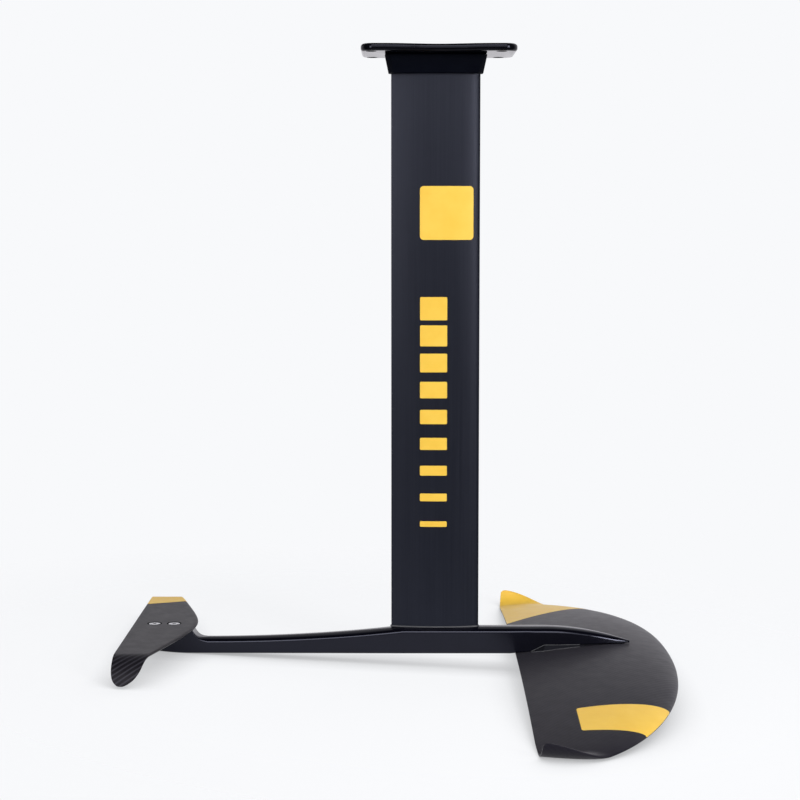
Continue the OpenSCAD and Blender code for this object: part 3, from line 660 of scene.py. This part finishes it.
def make_collar():
    length, width = (collar_high - collar_low)[:2]
    lip_z = collar_high[2] - collar_lip_h
    collar = loft("collar_moulding", [
        collar_ring(collar_bottom_l, collar_bottom_w, collar_low[2]),
        collar_ring(length, width, lip_z),
        collar_ring(length - 2 * collar_lip_in, width - 2 * collar_lip_in, collar_high[2]),
    ])
    bevel = collar.modifiers.new("edges", "BEVEL")
    bevel.width = collar_edge_r * MM
    bevel.segments = 3
    bevel.limit_method = "ANGLE"
    bevel.angle_limit = math.radians(collar_edge_angle)
    apply_modifiers(collar)
    socket = mast_outline(mast_fit)
    cut(collar, [upright_solid("cutter", socket, collar_low[2] - cut_past, collar_high[2] + cut_past)])
    finish_piece(collar, collar_black, ["mast_collar"])


# Front wing

def foil_curve(f):
    """Thickness curve of a foil section, 1 at its thickest."""
    return 10 * (0.2969 * np.sqrt(f) - 0.126 * f - 0.3516 * f ** 2 + 0.2843 * f ** 3 - 0.1036 * f ** 4)


def wing_chord_at(s):
    return wing_chord * (1 - (np.abs(s) / plan_reach) ** plan_p) ** (1 / plan_q)


def wing_te_at(s):
    raked = np.maximum(0, np.abs(s) - wing_flat_y + wing_rake_lead) / (tip_arc + wing_rake_lead)
    corner = np.clip(wing_corner_r - wing_half_arc + np.abs(s), 0, wing_corner_r)
    return wing_te_x + wing_tip_rake * raked ** 2 + wing_corner_r - np.sqrt(wing_corner_r ** 2 - corner ** 2)


def wing_le_at(s):
    return wing_te_x + wing_chord_at(s)


def wing_path(s):
    """Y, Z and angle of the trailing edge's path at distance s from the root."""
    a, side = np.abs(s), np.where(np.asarray(s) < 0, -1.0, 1.0)
    turn = tip_start + np.maximum(0, a - wing_flat_y) / wing_tip_r
    curled = a > wing_flat_y
    y = np.where(curled, wing_flat_y + wing_tip_r * (np.sin(turn) - math.sin(tip_start)), a)
    drop = -wing_droop * (a / wing_flat_y) ** 2
    z = np.where(curled, -wing_droop + wing_tip_r * (math.cos(tip_start) - np.cos(turn)), drop)
    angle = np.where(curled, turn, -np.arctan(2 * wing_droop * a / wing_flat_y ** 2))
    return side * y, z, side * angle


def wing_height(f, s, side):
    """Height of the upper (side 1) or lower (side -1) surface over the trailing edge."""
    share = wing_chord_at(s) / wing_chord
    scale = share * (1 - wing_thin * (np.asarray(s) / wing_half_arc) ** 2)
    half = wing_upper if side > 0 else wing_lower
    return -wing_nose_down * (1 - f) * share + side * (foil_curve(f) * scale * half + f * wing_te_t / 2)


def wing_surface(f, s, side=1, lift=0.0):
    """Point on the wing's skin at share f of the chord and distance s."""
    f, s = np.broadcast_arrays(np.asarray(f, float), np.asarray(s, float))
    y, z, angle = wing_path(s)
    h = wing_height(f, s, side) + side * lift
    te = wing_te_at(s)
    x = te + (1 - f) * (wing_le_at(s) - te)
    return np.stack([x, y - h * np.sin(angle), wing_te_z + z + h * np.cos(angle)], -1)


def make_wing(station_n=110, section_n=48):
    fs = cosine_steps(section_n)
    stations = wing_half_arc * np.sin(np.linspace(-math.pi / 2, math.pi / 2, 2 * station_n + 1))
    rings, uvs = [], []
    for s in stations:
        upper, lower = wing_surface(fs[::-1], s, 1), wing_surface(fs[1:], s, -1)
        ring = np.concatenate([upper, lower])
        rings.append(ring)
        uvs.append(np.column_stack([np.full(len(ring), s), ring[:, 0]]) * MM)
    wing = loft("wing_skin", rings, uvs)
    cutters = []
    for x in wing_screws:
        f = (wing_le_at(0.0) - x) / wing_chord
        low = wing_te_z + float(wing_height(f, 0.0, -1))
        profile = [(wing_ferrule_r, low - wing_cut_clear), (wing_ferrule_r, low + wing_ferrule_h)]
        cutters += hole_cutters(profile, [(x, 0)])
    cut(wing, cutters)
    finish_piece(wing, wing_carbon, ["front_wing"])


# Stabilizer

def stab_turn(y):
    return np.maximum(0, (np.abs(y) - stab_flat_y) / (stab_half_span - stab_flat_y))


def stab_edges(y):
    """X of the leading and the trailing edge at y."""
    turn = np.minimum(1, stab_turn(y))
    rounding = np.maximum(0, (turn - stab_round_from) / (1 - stab_round_from)) ** stab_round_power
    end = np.maximum(0, (turn - stab_corner_from) / (1 - stab_corner_from))
    corner = stab_corner * (1 - np.sqrt(1 - end ** 2))
    swept = stab_sweep * (np.sqrt(np.asarray(y) ** 2 + stab_apex_r ** 2) - stab_apex_r)
    le = stab_apex_x - swept - stab_round_le * rounding - corner
    te = stab_te_x + stab_round_te * rounding + corner
    return le, te


def stab_depth(f, y):
    """Depth of the belly below the flat top."""
    le, te = stab_edges(y)
    t = stab_t * np.sqrt((le - te) / stab_chord)
    front = np.maximum(0, (stab_crest - f) / stab_crest)
    back = np.maximum(0, (f - stab_crest) / (1 - stab_crest))
    nose = stab_le_h + (t - stab_le_h) * np.sqrt(np.maximum(0, 1 - front ** stab_front_power))
    return np.where(f < stab_crest, nose, t - (t - stab_te_t) * back ** stab_back_power)


def stab_belly_z(x):
    """Height of the belly on the centreline."""
    return stab_top_z - float(stab_depth(np.clip((stab_apex_x - x) / stab_chord, 0, 1), 0.0))


def stab_lip_depth(f):
    """Depth of the rounded leading edge below the flat top."""
    inside = np.clip((stab_lip - np.asarray(f, float)) / stab_lip, 0, 1)
    return stab_le_h * (1 - np.sqrt(1 - inside ** 2))


def stab_point(f, depth, y):
    """Point at share f of the chord, at a depth below the flat top."""
    f, depth, y = np.broadcast_arrays(np.asarray(f, float), depth, np.asarray(y, float))
    turn = stab_turn(y)
    slope = stab_drop * stab_bend / (stab_half_span - stab_flat_y) * turn ** (stab_bend - 1)
    angle = np.where(y < 0, -1, 1) * np.arctan(slope)
    le, te = stab_edges(y)
    z = stab_top_z - stab_drop * turn ** stab_bend
    return np.stack([le - f * (le - te), y - depth * np.sin(angle), z - depth * np.cos(angle)], -1)


def stab_surface(f, y, lift=0.0):
    """Point on the stabilizer's upper skin."""
    return stab_point(f, stab_lip_depth(f) - lift, y)


def make_stabilizer(flat_n=40, tip_n=40, section_n=40, lip_n=9, top_n=30):
    half = np.concatenate([
        np.linspace(0, stab_flat_y, flat_n, endpoint=False),
        stab_flat_y + (stab_half_span - stab_flat_y) * np.sin(np.linspace(0, math.pi / 2, tip_n)),
    ])
    stations = np.concatenate([-half[:0:-1], half])
    fs = cosine_steps(section_n)
    lip = stab_lip * (1 - np.cos(np.linspace(0, math.pi / 2, lip_n)))
    top_fs = np.concatenate([lip, np.linspace(stab_lip, 1, top_n)[1:]])
    rings, uvs = [], []
    for y in stations:
        top = stab_point(top_fs, stab_lip_depth(top_fs), y)
        belly = stab_point(fs[:0:-1], stab_depth(fs[:0:-1], y), y)
        ring = np.concatenate([top, belly])
        rings.append(ring)
        uvs.append(np.column_stack([np.full(len(ring), y), ring[:, 0]]) * MM)
    stabilizer = loft("stabilizer_skin", rings, uvs)
    cutters = []
    for x in stab_screws:
        low = stab_ferrule_floor + max(stab_belly_z(x + d) for d in (-stab_ferrule_r, 0, stab_ferrule_r))
        profile = [(stab_ferrule_r, low), (stab_ferrule_r, low + cut_clear)]
        cutters += hole_cutters(profile, [(x, 0)])
    cut(stabilizer, cutters)
    finish_piece(stabilizer, stab_carbon, ["stabilizer"])


# Fuselage

def wing_upper_z(x):
    return wing_te_z + wing_height((wing_le_at(0.0) - x) / wing_chord, 0.0, 1)


seat_z = max(wing_upper_z(x) for x in np.arange(wing_te_x, wing_te_x + wing_chord)) + pad_min
ramp_x0 = wing_te_x + ramp_start
ramp_x1 = ramp_x0 + ramp_l


def fus_top(x):
    """Height of the top of the fuselage at x."""
    if x > kink_x:
        nose = max(0, (x - nose_drop_x) / (nose_x - nose_drop_x))
        return fus_top_z - (fus_top_z - seat_z - nose_tip_t) * nose ** 2
    if x > pedestal_x:
        return boom_top_z + boom_drop * ((x - pedestal_x) / (kink_x - pedestal_x)) ** 2
    rise = boom_top_z + pedestal_h * ((pedestal_x - x) / pedestal_fillet) ** pedestal_power
    return min(rise, stab_belly_z(x) - seat_gap)


def fus_bottom(x):
    """Height of the underside at x."""
    if x < tail_rise_x:
        return fus_bottom_z + tail_rise * ((tail_rise_x - x) / (tail_rise_x - tail_x)) ** 2
    bends = [wing_te_x - ramp_lead, ramp_x0, ramp_x1]
    return float(np.interp(x, bends, [fus_bottom_z, wing_upper_z(ramp_x0) + pad_min, seat_z]))


def fus_half(x):
    """Half width at x."""
    if x > kink_x:
        nose = np.clip((x - nose_taper_x) / (nose_x + nose_past - nose_taper_x), 0, 1)
        return fus_half_w * (1 - nose ** 2) ** nose_plan_power
    boom = np.clip((kink_x - x) / (kink_x - pedestal_x), 0, 1)
    tail = np.clip((tail_x + tail_round - x) / (tail_round + tail_past), 0, 1)
    return (fus_half_w + (boom_half_w - fus_half_w) * boom) * math.sqrt(1 - tail ** 2)


def fus_ring(x, edge_n=8, shoulder_n=28):
    """Section of the fuselage at x."""
    w, top, low = fus_half(x), fus_top(x), fus_bottom(x)
    seated = np.clip((x - wing_te_x + edge_blend) / (2 * edge_blend), 0, 1)
    r = min(fus_edge_r + (seat_edge_r - fus_edge_r) * seated, w / 4, (top - low) / 4)
    on_seat = np.clip((pedestal_x - x) / pedestal_fillet, 0, 1)
    nose = np.clip((x - nose_taper_x) / (nose_x - nose_taper_x), 0, 1)
    boom = np.clip((kink_x - x) / boom_blend, 0, 1)
    share = min(shoulder_share + (nose_shoulder_share - shoulder_share) * nose, most_shoulder_share)
    share += (boom_shoulder_share - share) * boom
    tall = shoulder_h + (boom_shoulder_h - shoulder_h) * boom
    sh = min(tall + (seat_edge_r - tall) * on_seat, share * (top - low))
    crown = crown_flat * w * (1 - boom)
    flat = crown + (w - crown - seat_edge_r) * on_seat
    a = np.linspace(-math.pi / 2, 0, edge_n)
    edge = np.stack([w - r + r * np.cos(a), low + r + r * np.sin(a)], 1)
    a = np.linspace(0, math.pi / 2, shoulder_n)
    power = 2 / (shoulder_power + (boom_shoulder_power - shoulder_power) * boom)
    across = flat + (w - flat) * np.maximum(0, np.cos(a)) ** power
    shoulder = np.stack([across, top - sh + sh * np.sin(a) ** power], 1)
    right = np.concatenate([edge, shoulder])
    left = right[::-1] * (-1, 1)
    return np.column_stack([np.full(2 * len(right), x), np.concatenate([right, left])])


def make_fuselage(tail_n=15, nose_n=60):
    tail_end = tail_x + tail_round
    bends = [tail_end, pedestal_x - pedestal_fillet, pedestal_x, kink_x, wing_te_x - edge_blend, ramp_x1]
    # Stations in each stretch between two bends
    counts = [23, 23, 69, 23, 27]
    tail_turns = np.linspace(0, math.pi / 2, tail_n, endpoint=False)
    nose_turns = np.linspace(0, math.pi / 2, nose_n)
    stations = [tail_end - tail_round * np.cos(tail_turns)]
    stations += [np.linspace(a, b, n, endpoint=False) for a, b, n in zip(bends, bends[1:], counts)]
    stations.append(ramp_x1 + (nose_x - ramp_x1) * np.sin(nose_turns))
    fuselage = loft("fuselage_body", [fus_ring(x) for x in np.concatenate(stations)])
    cutters = [upright_solid("cutter", mast_outline(mast_fit), mast_foot_z, mast_foot_z + cut_clear)]
    heads = sunk_profile(screw_hole_r, head_hole_r, fus_bottom_z, mast_foot_z + cut_overlap)
    cutters += hole_cutters(heads, [(x, 0) for x in mast_screws])
    cut(fuselage, cutters)
    finish_piece(fuselage, fuselage_black, ["fuselage"])


def make_pad_rims(stations=40, sides=8):
    """Rounded rims of the pad, whose pale grey paints the highlights on its edges: one along the seat and
    one along the wing, on both sides.
    """
    xs = np.linspace(ramp_x0, pad_rim_x, stations)
    half = np.array([fus_half(x) for x in xs]) - pad_in
    top = np.array([fus_bottom(x) for x in xs])
    skin = np.array([wing_upper_z(x) for x in xs])
    out = pad_flare * (top - skin) / (top - wing_te_z)
    for name, across, height in (("upper", half, top), ("lower", half + out, skin)):
        for label, side in (("starboard", -1), ("port", 1)):
            angles = np.linspace(0, 2 * math.pi, sides, endpoint=False)
            rings = [
                np.column_stack([
                    np.full(sides, x),
                    side * y + pad_rim_r * np.cos(angles),
                    z + pad_rim_r * np.sin(angles),
                ])
                for x, y, z in zip(xs, across, height)
            ]
            finish_piece(loft(f"pad_rim_{name}_{label}", rings), highlight_rim_grey)


# Prints

def print_patch(name, material, surface, columns, across_n, lift=0.1, sunk=0.05):
    """A thin print on a skin. columns holds (a, b0, b1), and surface turns a, b and lift into points."""
    top, bottom = [], []
    for a, b0, b1 in columns:
        b = np.linspace(b0, b1, across_n)
        top.append(surface(a, b, lift))
        bottom.append(surface(a, b, -sunk))
    rows, n = len(columns), across_n
    points = np.concatenate([np.concatenate(top), np.concatenate(bottom)])
    base = rows * n
    faces = []
    for j in range(rows - 1):
        for i in range(n - 1):
            a = j * n + i
            faces.append((a, a + 1, a + 1 + n, a + n))
            faces.append((base + a, base + a + n, base + a + 1 + n, base + a + 1))
    rim = [j * n for j in range(rows - 1, 0, -1)] + list(range(n))
    rim += [j * n + n - 1 for j in range(1, rows)] + [(rows - 1) * n + i for i in range(n - 2, 0, -1)]
    for a, b in zip(rim, rim[1:] + rim[:1]):
        faces.append((b, a, base + a, base + b))
    patch = add_mesh(name, points, faces)
    face_outwards(patch)
    finish_piece(patch, material, sharp=50)


def rounded_columns(x0, x1, z0, z1, r, n=10, middle_n=12):
    """Columns of an upright rectangle with rounded corners."""
    turns = np.linspace(0, math.pi / 2, n)
    inset = r * (1 - np.sin(turns))
    left = x0 + r * (1 - np.cos(turns))
    middle = np.linspace(left[-1], x1 - r, middle_n + 2)[1:-1]
    xs = np.concatenate([left, middle, (x1 + x0 - left)[::-1]])
    insets = np.concatenate([inset, np.zeros(middle_n), inset[::-1]])
    return [(x, z0 + d, z1 - d) for x, d in zip(xs, insets)]


def mast_skin(x, z, lift):
    return np.stack(np.broadcast_arrays(x, -mast_half(x) - lift, z), -1)


# Yellow square on the mast
badge_x, badge_z, badge_side, badge_r = 14.9, -221.6, 72.2, 5
# Fading bars on the mast: their place and number, their corners, and how much of their steps the first and
# the last one fill
bars_x0, bars_x1, bars_top, bars_bottom, bars_n = -20.9, 15.9, -334.8, -679.8, 9
bar_r = 1.5
bar_share_first, bar_share_last = 0.82, 0.2


def make_mast_prints():
    half = badge_side / 2
    columns = rounded_columns(badge_x - half, badge_x + half, badge_z - half, badge_z + half, badge_r)
    print_patch("mast_badge", print_yellow, mast_skin, columns, 2)
    pitch = (bars_top - bars_bottom) / bars_n
    for i, share in enumerate(np.linspace(bar_share_first, bar_share_last, bars_n)):
        top = bars_top - i * pitch
        columns = rounded_columns(bars_x0, bars_x1, top - pitch * share, top, bar_r)
        print_patch(f"mast_bar_{i + 1}", print_yellow, mast_skin, columns, 2)


# Yellow panel on the starboard half of the wing: its rear edge and its inner and outer edges along the span
panel_rear_x, panel_in, panel_in_bow, panel_out, panel_corner = 168.5, -281, 12, -352.5, 4
# How near the panel comes to the leading edge, as a share of its length, and its dark outline
panel_reach = 0.9995
panel_border, border_lift = 1.6, 0.05
# Diagonal edge of the yellow tip on the port half, where it meets the trailing edge, and its slope
tip_print_y, tip_print_slope = 196.4, 0.989
# Slanting inner edge of the yellow end of the stabilizer, at the leading and the trailing edge
stab_print_le_y, stab_print_te_y = 150, 130
# How far prints stop short of the edges, as a share of the chord, and of the ends of the span
print_edge, print_end = 0.002, 0.2


def print_steps(n):
    """Shares of the chord that stop just short of both edges."""
    return print_edge + (1 - 2 * print_edge) * cosine_steps(n)


def panel_skin(a, b, lift):
    """Point of the wing panel; a runs from its rear edge to the leading edge."""
    le = wing_le_at(b)
    x = panel_rear_x + (le - panel_rear_x) * a
    te = wing_te_at(b)
    return wing_surface(np.clip((le - x) / (le - te), 0, 1), b, 1, lift)


def panel_columns(grow, n=60):
    """Columns of the wing panel, grown on every side but the front."""
    length = wing_le_at(panel_in) - panel_rear_x
    start = -grow / length
    columns = []
    for a in start + (1 - start) * cosine_steps(n):
        inner = panel_in + panel_in_bow * (1 - (1 - max(0, a)) ** 2)
        back = max(0, panel_corner - (a - start) * length)
        inset = panel_corner - math.sqrt(panel_corner ** 2 - back ** 2)
        columns.append((min(a, panel_reach), inner + grow - inset, panel_out - grow + inset))
    return columns


def wing_upper_skin(f, s, lift):
    return wing_surface(f, s, 1, lift)


def tip_columns(n=60, rounds=30):
    """Columns of the yellow wing tip, whose diagonal edge is found in rounds."""
    columns = []
    for f in print_steps(n):
        s = tip_print_y
        for _ in range(rounds):
            s = tip_print_y + tip_print_slope * (1 - f) * float(wing_chord_at(s))
        columns.append((f, s, wing_half_arc - print_end))
    return columns


def make_wing_prints():
    border = panel_columns(panel_border)
    print_patch("wing_panel_border", print_black, panel_skin, border, 40, border_lift)
    print_patch("wing_panel", print_yellow, panel_skin, panel_columns(0), 40)
    print_patch("wing_tip_print", print_yellow, wing_upper_skin, tip_columns(), 120)
    columns = [
        (f, stab_print_le_y + (stab_print_te_y - stab_print_le_y) * f, stab_half_span - print_end)
        for f in print_steps(40)
    ]
    print_patch("stabilizer_print", print_yellow, stab_surface, columns, 80)


# Finishes of the solids that show as they are
node_materials = {
    "collar_screws": screw_steel,
    "head_screws": screw_steel,
    "foot_screws": screw_steel,
    "front_wing_screws": screw_steel,
    "stabilizer_screws": screw_steel,
    "head_inserts": insert_steel,
    "foot_inserts": insert_steel,
    "front_wing_inserts": insert_steel,
    "stabilizer_inserts": insert_steel,
    "head_block": block_alloy,
    "foot_block": block_alloy,
    "front_wing_core": core_foam,
    "front_wing_block": block_dense,
    "front_wing_pad": pad_black,
    "front_wing_ferrules": ferrule_black,
    "stabilizer_ferrules": ferrule_black,
}


def dress_nodes():
    for name, material in node_materials.items():
        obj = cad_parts[name]
        obj.data.materials.clear()
        obj.data.materials.append(material)


# Stage

# Camera, in millimetres and degrees
camera_place = (-48.08, -2468.79, -239.1)
camera_pitch = 5.47
camera_focus_px, image_px, sensor_mm = 1816.6, 800, 36

backdrop = (0.939, 0.947, 0.965)
ambient_level = 0.24
studio_dark = 0.02
# What mirrors show behind the object: white up to a low height, and above it a glow that grows from left to
# right and fades out further up. Each pair is where a change starts and ends, as a part of a unit direction
white_top = (0.26, 0.34)
glow_left, glow_right = 0.3, 1.0
glow_x = (0.05, 0.6)
glow_top = (0.7, 0.92)
behind_y = (0.0, 0.35)
mirrored_white = (0.955, 0.94, 0.985)
floor_tone = (0.45, 0.453, 0.46)
# Share of the seen floor that doesn't take shadows, and the albedo of the share that does
floor_lift, floor_shade = 0.84, 0.215
# Shadow close to where the object touches the floor: how far it reaches and how much light is left
contact_reach, contact_shade = 0.05, 0.45
contact_samples = 8
# How bright mirrors show the floor
floor_mirrored = 0.8
floor_r, fade_start, fade_end = 3.0, 0.5, 0.9
floor_gap = 0.2


def piece_points(name):
    """Points of a piece, in metres."""
    obj = bpy.data.objects[name]
    points = np.zeros(len(obj.data.vertices) * 3)
    obj.data.vertices.foreach_get("co", points)
    return points.reshape(-1, 3)


def make_floor(sides=96, rounds=8):
    """A pale disc that the wing and the tail stand on, and that fades out into the backdrop."""
    wing = piece_points("wing_skin")
    tail = np.concatenate([piece_points("stabilizer_skin"), piece_points("fuselage_body")])
    slope = 0.0
    # The lowest points change with the slope, so both are found in rounds
    for _ in range(rounds):
        low_wing = wing[np.argmin(wing[:, 2] - slope * wing[:, 0])]
        low_tail = tail[np.argmin(tail[:, 2] - slope * tail[:, 0])]
        slope = (low_wing[2] - low_tail[2]) / (low_wing[0] - low_tail[0])
    angles = np.linspace(0, 2 * math.pi, sides, endpoint=False)
    x, y = floor_r / MM * np.cos(angles), floor_r / MM * np.sin(angles)
    z = low_wing[2] / MM - floor_gap + slope * (x - low_wing[0] / MM)
    floor = add_mesh("floor", np.column_stack([x, y, z]), [tuple(range(sides))])
    s = Shader("floor_pale", Roughness=0.9, Specular_IOR_Level=0.0)
    path = s.node("ShaderNodeLightPath").outputs
    mirrored = s.math("MAXIMUM", path["Is Glossy Ray"], path["Is Transmission Ray"])
    seen = s.math("MAXIMUM", path["Is Camera Ray"], s.math("MULTIPLY", mirrored, floor_mirrored))
    s.link(s.mixed(seen, floor_tone, [c * floor_shade for c in backdrop]), "Base Color")
    s.surface.inputs["Emission Color"].default_value = (*backdrop, 1)
    near = s.node("ShaderNodeAmbientOcclusion", {"Distance": contact_reach}, samples=contact_samples)
    lift = s.ranged(near.outputs["AO"], contact_shade * floor_lift, floor_lift, 0.0, 1.0)
    s.link(s.math("MULTIPLY", seen, lift), "Emission Strength")
    place = s.node("ShaderNodeTexCoord").outputs["Object"]
    far = s.node("ShaderNodeVectorMath", {0: place, 1: (0, 0, low_wing[2])}, operation="DISTANCE")
    fade = s.ranged(far.outputs["Value"], 0, 1, fade_start, fade_end)
    clear = s.node("ShaderNodeBsdfTransparent").outputs[0]
    mix = s.node("ShaderNodeMixShader", {0: fade, 1: s.surface.outputs[0], 2: clear})
    s.tree.links.new(mix.outputs[0], s.tree.nodes["Material Output"].inputs["Surface"])
    floor.data.materials.append(s.material)


def make_world():
    """White for the camera and for reflections of the backdrop, dimmer for the rest of the studio."""
    world = bpy.data.worlds.new("studio")
    bpy.context.scene.world = world
    world.use_nodes = True
    sky = Nodes(world.node_tree)
    sky.tree.nodes.clear()

    def background(colour, strength):
        return sky.node("ShaderNodeBackground", {"Color": (*colour, 1), "Strength": strength}).outputs[0]

    path = sky.node("ShaderNodeLightPath").outputs
    towards = sky.node("ShaderNodeTexCoord").outputs["Generated"]
    split = sky.node("ShaderNodeSeparateXYZ", {0: towards})
    x, y, z = (split.outputs[axis] for axis in "XYZ")
    white = sky.ranged(z, 1.0, 0.0, *white_top)
    across = sky.ranged(x, glow_left, glow_right, *glow_x)
    glow = sky.math("MULTIPLY", across, sky.ranged(z, 1.0, 0.0, *glow_top))
    back = sky.ranged(y, 0.0, 1.0, *behind_y)
    behind = sky.math("MULTIPLY", back, sky.math("MAXIMUM", white, glow))
    studio = sky.ranged(behind, studio_dark, 1.0, 0.0, 1.0)
    mirror = sky.math("MAXIMUM", path["Is Glossy Ray"], path["Is Transmission Ray"])
    seen = background(backdrop, 1.0)
    mirrored = background(mirrored_white, studio)
    ambient = background(backdrop, ambient_level)
    unseen = sky.node("ShaderNodeMixShader", {0: mirror, 1: ambient, 2: mirrored}).outputs[0]
    shown = sky.node("ShaderNodeMixShader", {0: path["Is Camera Ray"], 1: unseen, 2: seen}).outputs[0]
    sky.node("ShaderNodeOutputWorld", {"Surface": shown})


def area_light(name, place, target, size, watts):
    """A rectangular lamp that the camera doesn't see. Lengths are in metres."""
    light = bpy.data.lights.new(name, "AREA")
    light.shape = "RECTANGLE"
    light.size, light.size_y = size
    light.energy = watts
    obj = bpy.data.objects.new(name, light)
    bpy.context.scene.collection.objects.link(obj)
    obj.location = place
    aim = np.array(target, float) - np.array(place, float)
    obj.rotation_mode = "QUATERNION"
    obj.rotation_quaternion = Vector(aim).to_track_quat("-Z", "Y")
    obj.visible_camera = False
    return obj


def make_lights():
    area_light("front_softbox", (0.0, -3.8, 1.35), (0.0, 0.0, -0.4), (4.0, 2.4), 63.0)
    area_light("left_softbox", (-2.2, -3.4, 0.2), (0.0, 0.0, -0.3), (1.1, 1.1), 32.0)
    area_light("right_softbox", (2.5, -3.2, 0.3), (0.0, 0.0, -0.3), (1.1, 1.1), 60.0)
    top = area_light("top_softbox", (0.0, -1.8, 1.4), (0.0, 0.0, -0.8), (2.0, 1.1), 34.0)
    top.visible_diffuse = False
    side = area_light("side_softbox", (1.1, -0.8, 1.2), (0.2, -0.1, -0.8), (1.0, 1.0), 14.0)
    side.visible_glossy = False
    back = area_light("back_softbox", (0.8, 2.6, 0.0), (0.1, 0.0, -0.8), (2.4, 0.7), 22.0)
    back.visible_glossy = False


def make_camera():
    camera = bpy.data.cameras.new("camera")
    camera.sensor_width = sensor_mm
    camera.lens = camera_focus_px / image_px * sensor_mm
    obj = bpy.data.objects.new("camera", camera)
    bpy.context.scene.collection.objects.link(obj)
    obj.location = [c * MM for c in camera_place]
    obj.rotation_euler = (math.radians(90 - camera_pitch), 0, 0)
    camera.clip_end = 100
    bpy.context.scene.camera = obj


make_plate()
make_mast()
make_foot_bead()
make_collar()
make_wing()
make_stabilizer()
make_fuselage()
make_pad_rims()
make_mast_prints()
make_wing_prints()
dress_nodes()
make_floor()
make_world()
make_lights()
make_camera()
bpy.context.scene.view_settings.view_transform = "Standard"
